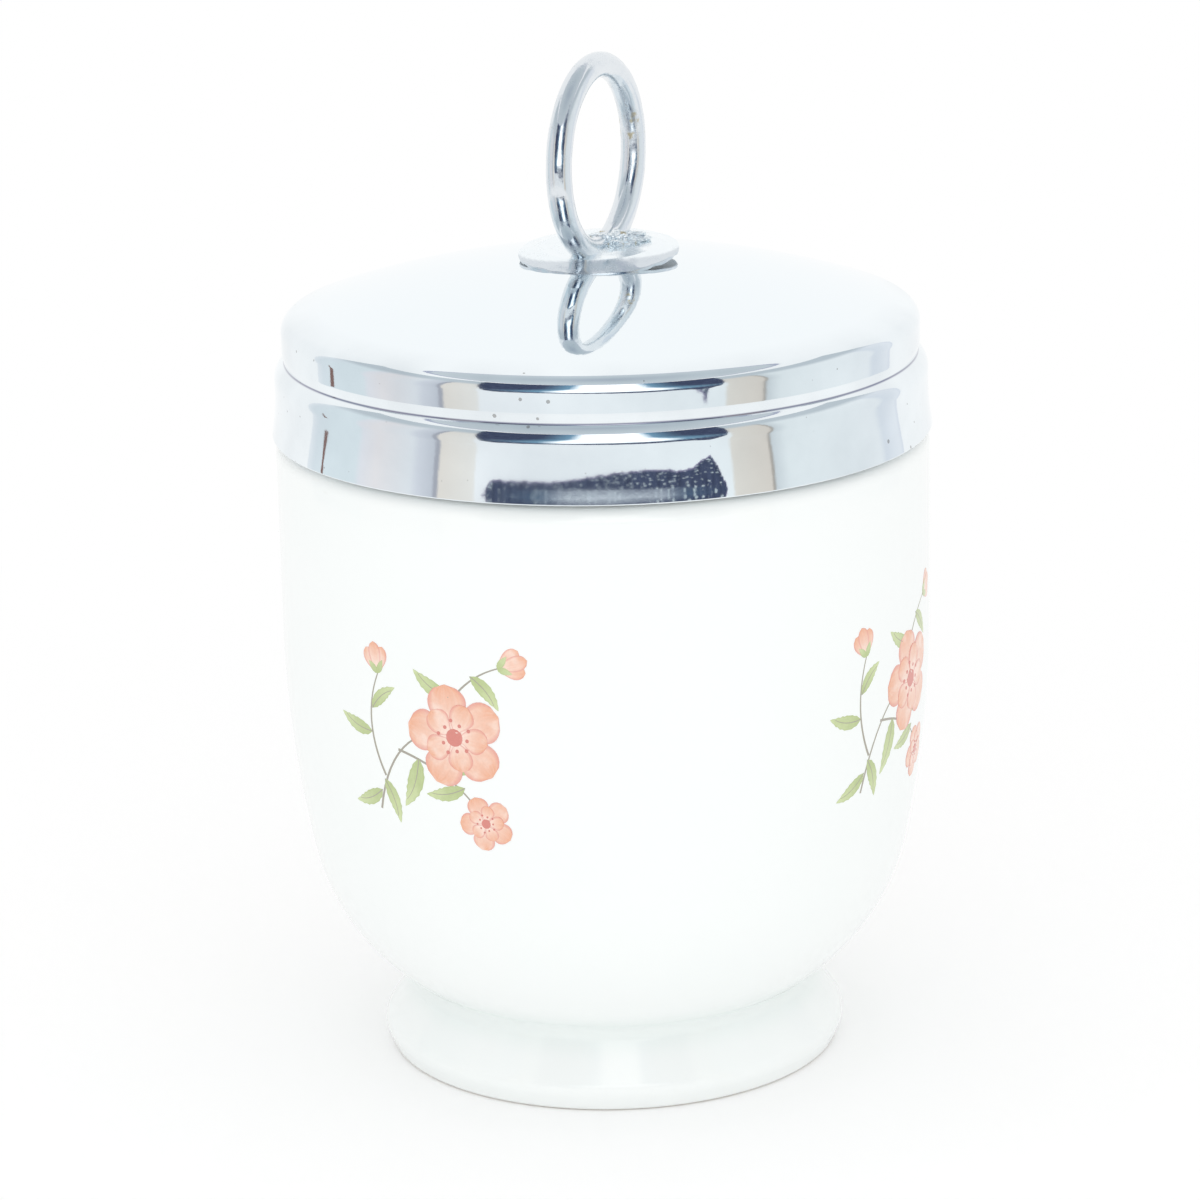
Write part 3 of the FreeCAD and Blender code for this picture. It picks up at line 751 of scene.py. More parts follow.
def cap_section(cup, cap):
    """Corners of the cap's half section: outside from the stud's hole to the hem, then inside."""
    hem_radius = cup.body_radius + cap.hem_overhang
    upper = hem_radius - cap.upper_band_inset
    groove = upper - cap.groove_depth
    dome_edge = upper - cap.dome_edge_inset
    corner = hem_radius - cap.flare + cap.band_lean
    # The dome's arc runs from the stud's hole to its edge; its two tangents meet at the crown.
    slope = math.asin(dome_edge / cap.dome_radius)
    first_slope = math.asin(cap.hole_radius / cap.dome_radius)
    centre = cap.dome_top - cap.dome_radius
    start = centre + cap.dome_radius * math.cos(first_slope)
    edge = centre + cap.dome_radius * math.cos(slope)
    crown = cap.dome_radius * math.tan((slope - first_slope) / 2)
    band_top = cap.hem_height + cap.lower_band
    groove_low = band_top + cap.groove_slope
    groove_high = groove_low + cap.groove_height
    outside = [
        (cap.hole_radius, start, 0),
        (
            cap.hole_radius + crown * math.cos(first_slope),
            start - crown * math.sin(first_slope),
            cap.dome_radius,
        ),
        (upper, edge - (upper - dome_edge) * math.tan(slope), cap.upper_band_round),
        (upper, groove_high + cap.groove_lead, cap.groove_lip_round),
        (groove, groove_high, cap.groove_round),
        (groove, groove_low, cap.groove_round),
        (corner, band_top, cap.lower_band_round),
        (hem_radius - cap.flare, cap.hem_height + cap.flare_height, cap.flare_round),
        (hem_radius, cap.hem_height, cap.hem_round),
        (hem_radius - cap.hem_width, cap.hem_height, 0),
    ]
    return outside + parallel(outside, -cap.wall)[::-1]


class CODDLER_OT_cup(Operator):
    """Turns the porcelain cup and winds the thread round its neck"""

    bl_idname = "coddler.cup"
    bl_label = "Porcelain Cup"

    def execute(self, context):
        cup = context.scene.coddler_cup
        bm = bmesh.new()
        draw_section(bm, cup_section(cup), longest=1.2 * MM)
        turn_round(bm, 192)
        join(bm, thread_ridge(cup))
        finish = context.scene.coddler_finish
        glaze = make("glazed_porcelain", glazed_porcelain, finish)
        add_piece(bm, "porcelain_cup", [glaze], "cup", ["cup"])
        return {"FINISHED"}


class CODDLER_OT_cap(Operator):
    """Turns the chromed cap"""

    bl_idname = "coddler.cap"
    bl_label = "Chromed Cap"

    def execute(self, context):
        scene = context.scene
        bm = bmesh.new()
        section = cap_section(scene.coddler_cup, scene.coddler_cap)
        draw_section(bm, section + section[:1], longest=0.7 * MM, step=math.radians(2.5))
        turn_round(bm, 224)
        plate = make("chromed_sheet", chromed_sheet, scene.coddler_finish)
        add_piece(bm, "chromed_cap", [plate], "lid", ["lid_shell"])
        return {"FINISHED"}


class CODDLER_OT_finial(Operator):
    """Makes the lifting ring, its disc and the braze between them"""

    bl_idname = "coddler.finial"
    bl_label = "Lifting Ring"

    def execute(self, context):
        scene = context.scene
        finial = scene.coddler_finial
        finish = scene.coddler_finish
        bright, turned, rough = (
            make(name, chromed_wire, finish, plate, wear)
            for name, plate, wear in (
                ("chromed_wire", finish.wire, 0.0),
                ("chromed_disc", finish.chrome, 0.02),
                ("chromed_braze", finish.chrome, 0.12),
            )
        )
        self.ring(finial, bright)
        self.disc(finial, turned, make("dusty_plate", dusty_plate, finish))
        self.braze(finial, rough)
        return {"FINISHED"}

    def ring(self, finial, plate):
        """Ring of round wire, bent by hand and ground flat where it stands."""
        bm = bmesh.new()
        wire = finial.ring_wire / 2
        centre = Vector((0, 0, RING_HIGH.z - finial.ring_radius - wire))
        beside = Matrix.Translation(centre + Vector((finial.ring_radius, 0, 0)))
        bmesh.ops.create_circle(bm, segments=36, radius=wire, matrix=beside)
        turn_round(bm, 220, centre, (0, 1, 0))
        noise.seed_set(RING_SEED)
        for vert in bm.verts:
            off = vert.co - centre
            uneven = noise.noise_vector(vert.co / RING_RIPPLE) * finial.ring_wobble
            vert.co -= off.normalized() * abs(uneven.x)
            vert.co.y *= 1 - abs(uneven.y) / wire
        cut_flat(bm, finial.ring_foot)
        add_piece(bm, "lifting_ring_wire", [plate], "lid", ["lifting_ring"])

    def disc(self, finial, plate, dusty):
        """Dished disc; its edge is worn, and bent down to the dome and dull on one side."""
        bm = bmesh.new()
        edge = finial.disc_height
        top = edge + finial.disc_fall
        upper = [
            (0, top, 0),
            (finial.disc_flat, top, finial.disc_flat_round),
            (finial.disc_radius, edge, 0),
        ]
        lower = parallel(upper, -finial.disc_sheet)
        rim = [(*corner[:2], finial.edge_round) for corner in (upper[-1], lower[-1])]
        draw_section(bm, upper[:-1] + rim + lower[-2::-1], longest=DISC_STEP)
        turn_round(bm, 144)
        dull = bm.verts.layers.float.new("dull")
        bent_side = Vector((math.cos(finial.disc_bent_side), math.sin(finial.disc_bent_side), 0))
        falling = finial.disc_flat / finial.disc_radius
        for vert in bm.verts:
            reach = math.hypot(vert.co.x, vert.co.y) / finial.disc_radius
            bent = max(0.0, vert.co.dot(bent_side)) / finial.disc_radius
            inside = 1 - (1 - falling) * bent / max(reach, falling)
            vert[dull] = max(0.0, min(1.0, (reach - inside) / DISC_DULL_FADE))
            vert.co.z -= finial.disc_bend * bent * max(0.0, reach - falling) / (1 - falling)
            worn = sum(noise.noise(vert.co / size) * share for size, share in DISC_RIPPLES)
            near_edge = max(0.0, (reach - 1 + DISC_WEAR) / DISC_WEAR) ** 2
            vert.co.z += finial.disc_curl * near_edge * (DISC_UPTURN + worn)
            vert.co.xy *= 1 - near_edge * DISC_NIBBLE * max(0.0, worn)
        low_side = Vector((math.cos(finial.disc_low_side), math.sin(finial.disc_low_side), 0))
        aslant = Matrix.Rotation(finial.disc_tilt, 3, Vector(UP).cross(low_side))
        bmesh.ops.rotate(bm, verts=bm.verts, cent=(0, 0, edge), matrix=aslant)
        bm.normal_update()
        for face in bm.faces:
            face.material_index = int(face.normal.z < UNDERSIDE)
        add_piece(bm, "dished_disc", [plate, dusty], "lid", ["finial_disc"])

    def braze(self, finial, plate):
        """Lump of braze beside the ring's foot, rough and drawn out to one side."""
        bm = bmesh.new()
        bmesh.ops.create_icosphere(bm, subdivisions=6, radius=1.0)
        fineness, *fractal = BRAZE_NOISE
        for vert in bm.verts:
            fin = max(0.0, vert.co.x - FIN_START) * FIN_STEEPNESS * max(0.0, vert.co.z)
            rough = noise.fractal(vert.co * fineness, *fractal) * finial.braze_lumps / MM
            vert.co *= 1 + BRAZE_SWELL * rough
            vert.co.x += fin * FIN_REACH
            vert.co.z += fin * FIN_RISE
        size = (finial.braze_width, finial.braze_width * BRAZE_FLAT, finial.braze_height)
        bmesh.ops.scale(bm, vec=size, verts=bm.verts)
        middle = Matrix.Translation((finial.braze_x, finial.braze_y, DISC_HIGH.z - BRAZE_SINK))
        turned = Matrix.Rotation(finial.braze_way, 4, "Z")
        bmesh.ops.transform(bm, matrix=middle @ turned, verts=bm.verts)
        cut_flat(bm, DISC_LOW.z)
        add_piece(bm, "braze", [plate], "lid")


class CODDLER_OT_cap_inside(Operator):
    """Gives the liner, seal, stud and washer their finishes"""

    bl_idname = "coddler.cap_inside"
    bl_label = "Inside of the Cap"

    def execute(self, context):
        finish = context.scene.coddler_finish
        tin = make("tinned_brass", tinned_brass, finish)
        for node, material in {
            "lid_liner": tin,
            "stud_washer": tin,
            "finial_stud": make("chromed_stud", chromed_wire, finish, finish.wire, 0.12),
            "lid_seal": make("seal_rubber", seal_rubber, finish),
        }.items():
            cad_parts[node].data.materials.clear()
            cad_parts[node].data.materials.append(material)
        return {"FINISHED"}


# ---- printed flowers ----------------------------------------------------------------------
PETAL, HEART, LEAF, STEM = range(4)  # places of the enamels in a print
# Azimuth and tilt in degrees: one transfer a quarter turn from the next, laid on by hand.
PRINT_PLACES = ((172.9, 0), (-94.1, 3), (-5, -2), (83, 2))
# The spray's plan, in mm from its middle: start, bend and end of each stem.
STEMS = (
    ((-7.2, -7.8), (-4.6, 1.4), (2.2, 1.4)),
    ((-6.1, -4.2), (-8.8, 1.0), (-6.4, 6.0)),
    ((-4.2, -1.2), (2.4, -2.4), (5.0, -7.0)),
    ((0.4, 1.4), (2.6, 6.8), (7.0, 8.2)),
)
# Start of each leaf, its direction in degrees and its share of the longest.
LEAVES = (
    ((-6.8, -5.8), 205, 0.8),
    ((-6.3, -4.6), -70, 0.8),
    ((-7.5, 0.0), 165, 0.8),
    ((-7.3, 2.4), 40, 0.7),
    ((-1.8, -1.7), -112, 1.0),
    ((1.2, -2.5), 8, 0.9),
    ((3.2, -4.0), -165, 0.8),
    ((1.9, 4.9), 150, 0.8),
    ((4.2, 7.2), -48, 0.75),
)
BLOSSOMS = ((2.4, 1.0), (5.2, -7.4))                  # middles of the large and the small one
BUDS = (((-6.4, 6.0), 100), ((7.0, 8.2), 18))         # foot of each bud and its direction
PETAL_RINGS = ((0.5, 0.4, 0, 3), (0.33, 0.25, 36, 8))  # reach, breadth, turn and first layer
HEART_LAYER = 13
# Lean in degrees, share of the bud's length and enamel of each of its blades.
BUD_BLADES = (
    (24, 0.9, PETAL),
    (-24, 0.9, PETAL),
    (0, 1.0, PETAL),
    (35, 0.5, LEAF),
    (-35, 0.5, LEAF),
)


def petal_width(along):
    """Share of a petal's width: narrow at its base, full near its blunt end."""
    return math.sin(math.pi * along**1.6) ** 0.5


def leaf_width(along):
    """Share of a leaf's width, with fine teeth on its edge."""
    return math.sin(math.pi * along**0.8) ** 0.85 * (0.9 + 0.1 * math.cos(40 * along))


def stem_width(along):
    """Share of a stem's width; it thins towards its end."""
    return 1 - 0.5 * along


def blade(bm, start, bend, end, width, shape, tone, over):
    """Lays a petal, leaf or stem in the plane of a print, along a line drawn to a bend."""
    made = bmesh.ops.create_grid(bm, x_segments=4, y_segments=14, size=0.5, calc_uvs=True)
    for vert in made["verts"]:
        across, along = vert.co.x, vert.co.y + 0.5
        before, after = start.lerp(bend, along), bend.lerp(end, along)
        heading = (after - before).normalized()
        side = Vector((heading.y, -heading.x))
        place = before.lerp(after, along) + side * across * width * max(shape(along), 0.02)
        vert.co = (*place, over)
    for face in {face for vert in made["verts"] for face in vert.link_faces}:
        face.material_index = tone


def spot(bm, middle, radius, tone, over):
    """Lays a round spot in the plane of a print."""
    place = Matrix.Translation((*middle, over))
    made = bmesh.ops.create_circle(
        bm, cap_ends=True, segments=14, radius=radius, matrix=place, calc_uvs=True
    )
    for face in {face for vert in made["verts"] for face in vert.link_faces}:
        face.material_index = tone


def pointing(degrees):
    """Flat direction, anticlockwise from the right."""
    return Vector((math.cos(math.radians(degrees)), math.sin(math.radians(degrees))))


class CODDLER_OT_print(Operator):
    """Lays four printed flower sprays round the cup"""

    bl_idname = "coddler.print"
    bl_label = "Printed Flowers"

    def execute(self, context):
        scene = context.scene
        sizes = scene.coddler_print
        finish = scene.coddler_finish
        enamels = [
            make(name, enamel, *tones)
            for name, *tones in (
                ("pink_enamel", finish.petal_light, finish.petal, finish.petal_edge),
                ("red_enamel", finish.heart, finish.heart, finish.petal_edge),
                ("green_enamel", finish.leaf_shade, finish.leaf, finish.leaf_shade),
                ("grey_enamel", finish.line, finish.line, finish.leaf_shade),
            )
        ]
        cup = bpy.data.objects["porcelain_cup"]
        wall = BVHTree.FromObject(cup, context.evaluated_depsgraph_get())
        for number, (turn, tilt) in enumerate(PRINT_PLACES, 1):
            bm = bmesh.new()
            bm.loops.layers.uv.new("stroke")
            self.spray(bm, sizes)
            laid = Matrix.Rotation(math.radians(tilt), 3, "Z")
            bmesh.ops.rotate(bm, verts=bm.verts, cent=ZERO, matrix=laid)
            self.wrap(bm, wall, math.radians(turn), sizes)
            bm.normal_update()
            bmesh.ops.solidify(bm, geom=bm.faces[:], thickness=sizes.root)
            bmesh.ops.recalc_face_normals(bm, faces=bm.faces)
            add_piece(bm, f"printed_flowers_{number}", enamels, "cup")
        return {"FINISHED"}

    def wrap(self, bm, wall, turn, sizes):
        """Bends a flat print round the cup, a hair over the glaze."""
        for vert in bm.verts:
            way = turn + vert.co.x / CUP_HIGH.x
            out = Vector((math.cos(way), math.sin(way), 0))
            start = out * 2 * CUP_HIGH.x + Vector((0, 0, sizes.height + vert.co.y))
            place, normal, _, _ = wall.ray_cast(start, -out)
            vert.co = place + normal * (sizes.lift + vert.co.z)

    def spray(self, bm, sizes):
        """Draws one spray: branching stems, leaves, an open flower, a small one and two buds."""
        for line in STEMS:
            blade(bm, *(Vector(point) * MM for point in line), sizes.stem, stem_width, STEM, 0)
        for place, way, share in LEAVES:
            self.leaf(bm, Vector(place) * MM, way, share, sizes)
        for place, width, turn in zip(BLOSSOMS, (sizes.blossom, sizes.small_blossom), (100, 40)):
            self.flower(bm, Vector(place) * MM, width, turn, sizes)
        for place, way in BUDS:
            self.bud(bm, Vector(place) * MM, way, sizes)

    def leaf(self, bm, start, way, share, sizes):
        """Leaf with its middle vein."""
        out, side = pointing(way), pointing(way + 90)
        reach = sizes.leaf * share
        bend = start + out * reach * 0.5 + side * reach * 0.14
        end = start + out * reach
        blade(bm, start, bend, end, reach * 0.36, leaf_width, LEAF, sizes.layer)
        vein_end = start.lerp(end, 0.85)
        blade(bm, start, bend, vein_end, sizes.stem * 0.4, stem_width, STEM, sizes.layer * 2)

    def flower(self, bm, middle, width, turn, sizes):
        """Open flower: broad petals, smaller ones over them, and a dotted heart."""
        layer = sizes.layer
        for reach, breadth, turned, over in PETAL_RINGS:
            for petal in range(5):
                way = turn + turned + petal * 72
                start = middle + pointing(way) * width * 0.05
                bend = middle + (pointing(way) * reach + pointing(way + 90) * 0.06) * width / 2
                end = middle + pointing(way) * width * reach
                height = layer * (over + petal)
                blade(bm, start, bend, end, width * breadth, petal_width, PETAL, height)
        spot(bm, middle, width * 0.085, HEART, layer * HEART_LAYER)
        for dot in range(10):
            away = pointing(turn + dot * 36) * width * (0.13 if dot % 2 else 0.165)
            spot(bm, middle + away, width * 0.018, HEART, layer * HEART_LAYER)

    def bud(self, bm, base, way, sizes):
        """Closed bud: three petals in a green cup."""
        reach = sizes.small_blossom * 0.55
        for height, (lean, share, tone) in enumerate(BUD_BLADES, 1):
            end = base + pointing(way + lean) * reach * share
            shape = petal_width if tone == PETAL else leaf_width
            width = reach * (0.5 if tone == PETAL else 0.24)
            blade(bm, base, base.lerp(end, 0.5), end, width, shape, tone, sizes.layer * height)


# ---- stage --------------------------------------------------------------------------------
# Azimuth round the cup, in degrees from the camera's side, and the wall's tone there.
WALL_TONES = (
    (-115, "#EEF1F5"),
    (-111, "#E0E7EC"),
    (-103, "#E1EAEE"),
    (-88, "#E1EAEE"),
    (-86, "#E9E9EE"),
    (-79, "#EEE9EA"),
    (-65, "#E7EAEE"),
    (-62, "#D9DCE4"),
    (-56.2, "#C8CCD5"),
    (-55.9, "#ACAEB8"),
    (-54.2, "#ACAEB8"),
    (-53.9, "#E9E2DA"),
    (-41.7, "#F1EEE9"),
    (-41.4, "#F8FAFC"),
    (41.4, "#F1F6F8"),
    (41.7, "#E6E1D9"),
    (55.3, "#DFD7CE"),
    (55.5, "#A49C94"),
    (55.9, "#A49C94"),
    (56.5, "#D2D9DD"),
    (62, "#E8EEF0"),
    (104, "#F5F8FA"),
    (107, "#E6EBF2"),
    (117, "#EFF2F7"),
    (119, "#E2E6EF"),
)
CARD_GAP = 1 * MM                     # from the wall to what stands before it
WALL_TOP = 330                        # mm
WALL_FADE = (190, 245)                # mm: over these heights it fades to the roof's rim
# Azimuth in degrees and height in mm of the dark opening's lower edge, before it is ragged.
OPENING_EDGE = (
    (-39, 69),
    (-38, 68),
    (-36.7, 58),
    (-35, 54),
    (-26, 55),
    (-17, 56),
    (-12, 54),
    (-7, 50),
    (-1, 45),
    (4, 41),
    (9, 39),
    (14, 37),
    (20, 39),
    (25, 42),
    (28.5, 38),
    (31.7, 26),
    (34.6, 18),
    (36.2, 33),
    (38, 56),
    (39.5, 68),
)
OPENING_RAGS = ((0.5, 0, 3), (1.7, 5, 2))  # rags per degree, row of the noise, mm
OPENING_LEFT, OPENING_RIGHT = 0.26, 0.19  # it widens by these shares up to its top
WINDOW_AZIMUTH = 3                    # degrees
WINDOW_GLOW = (1.6, 1.6, 1.6)
POST_CORNERS = ((-106.7, 14), (-104.4, 14), (-105.3, 66))  # degrees and mm
ROOF_TONES = (
    (0, "#B0B9C4"),
    (0.5, "#C4CDD3"),
    (0.93, "#CED5DA"),
    (0.97, "#B0B4C8"),
    (1, "#A6AAC2"),
)
# Place and width of each lamp in metres, seen from the camera's side.
LAMPS = {"overhead": ((0, -0.1, 1.0), 1.2), "front": ((0, -0.4, 0.06), 0.6)}
LAMP_AIM = Vector((0, 0, 0.04))       # metres, on the cup's axis


def opening_foot(azimuth):
    """Height in mm of the opening's ragged lower edge."""
    height = OPENING_EDGE[0 if azimuth < 0 else -1][1]
    for (before, low), (after, high) in zip(OPENING_EDGE, OPENING_EDGE[1:]):
        if before <= azimuth <= after:
            height = low + (high - low) * (azimuth - before) / (after - before)
            break
    for fineness, row, size in OPENING_RAGS:
        height += noise.noise(Vector((azimuth * fineness, row, 0))) * size
    return height


def set_stops(ramp, stops):
    """Gives a colour ramp stops of (place, tone), with places from 0 to 1."""
    while len(ramp.elements) < len(stops):
        ramp.elements.new(1.0)
    for element, (place, _) in zip(ramp.elements, stops):
        element.position = place
    for element, (_, tone) in zip(ramp.elements, stops):
        element.color = (*linear(tone), 1)


def seen_plain(tree):
    """One for rays that come from the camera, from gloss or through glass."""
    path = add(tree, "LightPath").outputs
    rays = {0: path["Is Camera Ray"], 1: path["Is Glossy Ray"]}
    seen = add(tree, "Math", rays, operation="MAXIMUM")
    return add(tree, "Math", {0: seen, 1: path["Is Transmission Ray"]}, operation="MAXIMUM")


def wall_tone(tree, stage):
    """Tones of cloth, paper and a frame round the wall, which fade to the roof's rim."""
    azimuth, height, _ = add(
        tree, "SeparateXYZ", {0: add(tree, "UVMap", uv_map="place")}
    ).outputs
    start, end = WALL_TONES[0][0], WALL_TONES[-1][0]
    share = add(tree, "MapRange", {"Value": azimuth, "From Min": start, "From Max": end})
    tones = add(tree, "ValToRGB", {0: share})
    set_stops(tones.color_ramp, [((way - start) / (end - start), tone) for way, tone in WALL_TONES])
    low, high = WALL_FADE
    fade = add(tree, "MapRange", {"Value": height, "From Min": low, "From Max": high})
    mixed = {"Factor": fade, "A": tones, "B": stage.roof_rim}
    return add(tree, "Mix", mixed, data_type="RGBA")


def opening_tone(tree, stage):
    """A dark room with ribs and bright dots low in it, a purple fringe and a window's glow."""
    place = add(tree, "UVMap", uv_map="place")
    azimuth, height, _ = add(tree, "SeparateXYZ", {0: place}).outputs
    upright = add(tree, "Mapping", {"Vector": place, "Scale": (0.9, 0.03, 1)})
    ribs = add(tree, "TexNoise", {"Vector": upright, "Scale": 1.0})
    spread = add(tree, "Mapping", {"Vector": place, "Scale": (0.62, 0.28, 1)})
    cell = add(tree, "TexVoronoi", {"Vector": spread, "Scale": 1.0})
    dot = add(tree, "MapRange", {"Value": cell, "From Min": 0.36, "From Max": 0.16, "To Max": 0.85})
    low = add(tree, "MapRange", {"Value": height, "From Min": 130, "From Max": 90})
    dots = add(tree, "Math", {0: dot, 1: low}, operation="MULTIPLY")
    above = add(tree, "Attribute", attribute_name="above").outputs["Fac"]
    fringe = add(tree, "MapRange", {"Value": above, "From Min": 4, "From Max": 0.5, "To Max": 0.75})
    # The window stands upright and is wider below.
    off_window = add(tree, "Math", {0: azimuth, 1: WINDOW_AZIMUTH}, operation="SUBTRACT")
    aside = add(tree, "Math", {0: off_window}, operation="ABSOLUTE")
    narrow = add(
        tree, "MapRange", {"Value": height, "From Min": 110, "From Max": 170, "To Min": 0.6}
    )
    aside = add(tree, "Math", {0: aside, 1: narrow}, operation="MULTIPLY")
    up = add(tree, "MapRange", {"Value": height, "From Min": 66, "From Max": 88})
    blue = add(
        tree,
        "MapRange",
        {"Value": aside, "From Min": 26, "From Max": 9, "To Max": 0.9},
        interpolation_type="SMOOTHSTEP",
    )
    halo = add(tree, "Math", {0: blue, 1: up}, operation="MULTIPLY")
    pane = add(tree, "MapRange", {"Value": aside, "From Min": 14, "From Max": 9})
    window = add(tree, "Math", {0: pane, 1: up}, operation="MULTIPLY")
    tone = stage.opening_dark
    for share, over in (
        (ribs, stage.opening_light),
        (dots, stage.opening_dots),
        (fringe, stage.fringe),
        (halo, stage.halo),
        (window, WINDOW_GLOW),
    ):
        tone = add(tree, "Mix", {"Factor": share, "A": tone, "B": over}, data_type="RGBA")
    return tone


def post_tone(tree, stage):
    """One brown."""
    return stage.post


def roof_tone(tree, stage, middle):
    """Grey, palest short of its rim."""
    place = add(tree, "TexCoord").outputs["Object"]
    away = add(tree, "VectorMath", {0: place, 1: middle}, operation="DISTANCE")
    share = add(tree, "MapRange", {"Value": away, "From Max": stage.roof_radius})
    tones = add(tree, "ValToRGB", {0: share})
    set_stops(tones.color_ramp, ROOF_TONES)
    return tones


class CODDLER_OT_stage(Operator):
    """Sets the camera, the floor, the light and what the chrome mirrors"""

    bl_idname = "coddler.stage"
    bl_label = "Stage"

    def execute(self, context):
        stage = context.scene.coddler_stage
        round_cup = Matrix.Rotation(stage.view_turn, 4, "Z")
        self.camera(context, stage, round_cup)
        self.floor(stage)
        self.wall(stage, round_cup)
        self.opening(stage, round_cup)
        self.post(stage, round_cup)
        self.roof(stage, round_cup)
        self.light(context, stage, round_cup)
        context.scene.view_settings.view_transform = "Standard"
        return {"FINISHED"}

    def camera(self, context, stage, round_cup):
        """Camera on its stand in front of the cup."""
        data = bpy.data.cameras.new("camera")
        data.lens = stage.lens
        data.sensor_width = 36.0
        data.clip_start = 0.01
        camera = bpy.data.objects.new("camera", data)
        context.scene.collection.objects.link(camera)
        camera.matrix_world = (
            round_cup
            @ Matrix.Translation((0, -stage.view_distance, stage.view_height))
            @ Matrix.Rotation(stage.view_pan, 4, "Z")
            @ Matrix.Rotation(math.pi / 2 - stage.view_drop, 4, "X")
            @ Matrix.Rotation(stage.view_roll, 4, "Z")
        )
        context.scene.camera = camera

    def floor(self, stage):
        """Pale floor that shows white and keeps the cup's shadow."""
        bm = bmesh.new()
        bmesh.ops.create_circle(bm, cap_ends=True, segments=96, radius=stage.floor_radius)
        material = bpy.data.materials.new("pale_floor")
        self.prop(bm, "floor", material)
        tree = empty_tree(material)
        place = add(tree, "TexCoord").outputs["Object"]
        away = add(tree, "VectorMath", {0: place}, operation="LENGTH")
        # Beyond the shadow the floor runs out into the white behind it.
        beyond = add(
            tree,
            "MapRange",
            {"Value": away, "From Min": 0.05, "From Max": 0.2, "To Min": 0.1},
            interpolation_type="SMOOTHSTEP",
        )
        share = add(tree, "Math", {0: seen_plain(tree), 1: beyond}, operation="MULTIPLY")
        paper = add(tree, "BsdfDiffuse", {"Color": stage.floor_colour})
        white = add(tree, "Emission")
        both = add(tree, "MixShader", {0: share, 1: paper, 2: white})
        add(tree, "OutputMaterial", {"Surface": both})

    def prop(self, bm, name, material):
        """Makes a thing of the stage that is no part of the cup."""
        mesh = bpy.data.meshes.new(name)
        bm.to_mesh(mesh)
        bm.free()
        mesh.materials.append(material)
        made = bpy.data.objects.new(name, mesh)
        bpy.context.scene.collection.objects.link(made)
        return made

    def card(self, bm, name, recipe, *choices):
        """Makes a sheet that glows by itself in a recipe's tone, and that only gloss shows."""
        material = bpy.data.materials.new(name)
        sheet = self.prop(bm, name, material)
        for rays in ("camera", "diffuse", "shadow", "transmission"):
            setattr(sheet, "visible_" + rays, False)
        tree = empty_tree(material)
        glow = add(tree, "Emission", {"Color": recipe(tree, *choices)})
        add(tree, "OutputMaterial", {"Surface": glow})

    def bend_round(self, bm, radius, round_cup):
        """Bends a sheet drawn in degrees and mm round the cup, and keeps these as its UV."""
        place = bm.loops.layers.uv.new("place")
        for face in bm.faces:
            for loop in face.loops:
                loop[place].uv = loop.vert.co.xy
        for vert in bm.verts:
            way = math.radians(vert.co.x)
            vert.co = (radius * math.sin(way), -radius * math.cos(way), vert.co.y * MM)
        bmesh.ops.transform(bm, matrix=round_cup, verts=bm.verts)

    def wall(self, stage, round_cup):
        """Pale wall round the cup."""
        start, end = WALL_TONES[0][0], WALL_TONES[-1][0]
        bm = bmesh.new()
        bmesh.ops.create_grid(bm, x_segments=110, y_segments=2, size=0.5)
        for vert in bm.verts:
            share, rise = vert.co.x + 0.5, vert.co.y + 0.5
            vert.co = (start + (end - start) * share, WALL_TOP * rise, 0)
        self.bend_round(bm, stage.tent_radius, round_cup)
        self.card(bm, "wall", wall_tone, stage)

    def opening(self, stage, round_cup):
        """Dark opening in the wall before the cup, which widens a little towards its top."""
        start, end = OPENING_EDGE[0][0], OPENING_EDGE[-1][0]
        bm = bmesh.new()
        bmesh.ops.create_grid(bm, x_segments=240, y_segments=6, size=0.5)
        above = bm.verts.layers.float.new("above")
        for vert in bm.verts:
            share, rise = vert.co.x + 0.5, vert.co.y + 0.5
            azimuth = start + (end - start) * share
            widen = OPENING_LEFT if azimuth < 0 else OPENING_RIGHT
            foot = opening_foot(azimuth)
            height = (WALL_TOP - foot) * rise
            vert[above] = height
            vert.co = (azimuth * (1 + widen * rise), foot + height, 0)
        self.bend_round(bm, stage.tent_radius - CARD_GAP, round_cup)
        self.card(bm, "opening", opening_tone, stage)

    def post(self, stage, round_cup):
        """Brown wedge at the wall's left end."""
        bm = bmesh.new()
        corners = [bm.verts.new((*corner, 0)) for corner in POST_CORNERS]
        bmesh.ops.contextual_create(bm, geom=corners)
        self.bend_round(bm, stage.tent_radius - 2 * CARD_GAP, round_cup)
        self.card(bm, "post", post_tone, stage)

    def roof(self, stage, round_cup):
        """Grey roof over the cup."""
        bm = bmesh.new()
        middle = round_cup @ Vector((0, -stage.roof_forward, stage.roof_height))
        place = Matrix.Translation(middle)
        bmesh.ops.create_circle(
            bm, cap_ends=True, segments=64, radius=stage.roof_radius, matrix=place
        )
        self.card(bm, "roof", roof_tone, stage, middle)

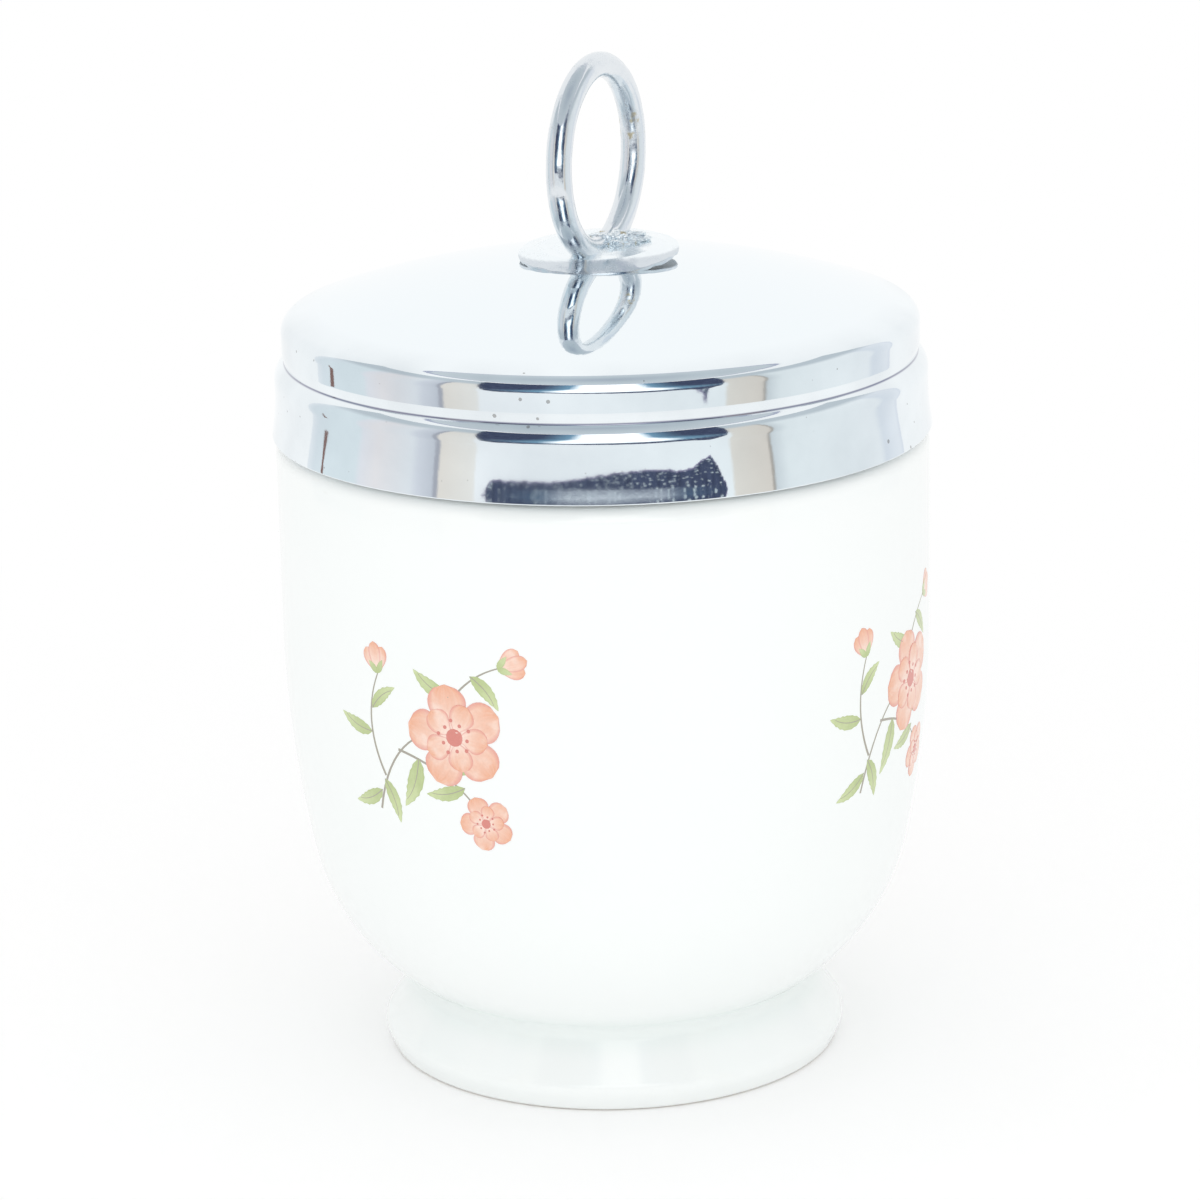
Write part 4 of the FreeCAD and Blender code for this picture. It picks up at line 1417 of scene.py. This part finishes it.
    def light(self, context, stage, round_cup):
        """White surroundings, a wide lamp overhead and a wide one low before the cup."""
        world = bpy.data.worlds.new("surroundings")
        tree = empty_tree(world)
        lit = {"Value": seen_plain(tree), "To Min": stage.ambient}
        strength = add(tree, "MapRange", lit)
        sky = add(tree, "Background", {"Color": (1, 1, 1), "Strength": strength})
        add(tree, "OutputWorld", {"Surface": sky})
        context.scene.world = world
        for name, (place, width) in LAMPS.items():
            lamp = bpy.data.lights.new(name, "AREA")
            lamp.size = width
            lamp.energy = getattr(stage, name + "_power")
            holder = bpy.data.objects.new(name, lamp)
            context.scene.collection.objects.link(holder)
            aimed = (LAMP_AIM - Vector(place)).to_track_quat("-Z", "Y").to_matrix().to_4x4()
            holder.matrix_world = round_cup @ Matrix.Translation(place) @ aimed
            holder.visible_glossy = False


class CODDLER_PT_panel(Panel):
    """Lists the sizes and the pieces in the sidebar"""

    bl_idname = "CODDLER_PT_panel"
    bl_label = "Egg Coddler"
    bl_space_type = "VIEW_3D"
    bl_region_type = "UI"
    bl_category = "Coddler"

    def draw(self, context):
        for step in STEPS:
            self.layout.operator(step.bl_idname)
        for name, group in GROUPS.items():
            box = self.layout.box()
            box.label(text=group.__doc__)
            for prop in group.__annotations__:
                box.prop(getattr(context.scene, name), prop)


STEPS = (
    CODDLER_OT_stage,
    CODDLER_OT_cup,
    CODDLER_OT_cap,
    CODDLER_OT_cap_inside,
    CODDLER_OT_finial,
    CODDLER_OT_print,
)
CLASSES = (*GROUPS.values(), *STEPS, CODDLER_PT_panel)


def register():
    """Registers the classes and hangs the settings on the scene."""
    for cls in CLASSES:
        bpy.utils.register_class(cls)
    for name, group in GROUPS.items():
        setattr(bpy.types.Scene, name, PointerProperty(type=group))


def unregister():
    """Takes the settings and the classes away again."""
    for name in GROUPS:
        delattr(bpy.types.Scene, name)
    for cls in reversed(CLASSES):
        bpy.utils.unregister_class(cls)


def main():
    """Registers the classes and builds everything in order."""
    register()
    for step in STEPS:
        family, name = step.bl_idname.split(".")
        getattr(getattr(bpy.ops, family), name)()


if __name__ == "__main__":
    main()
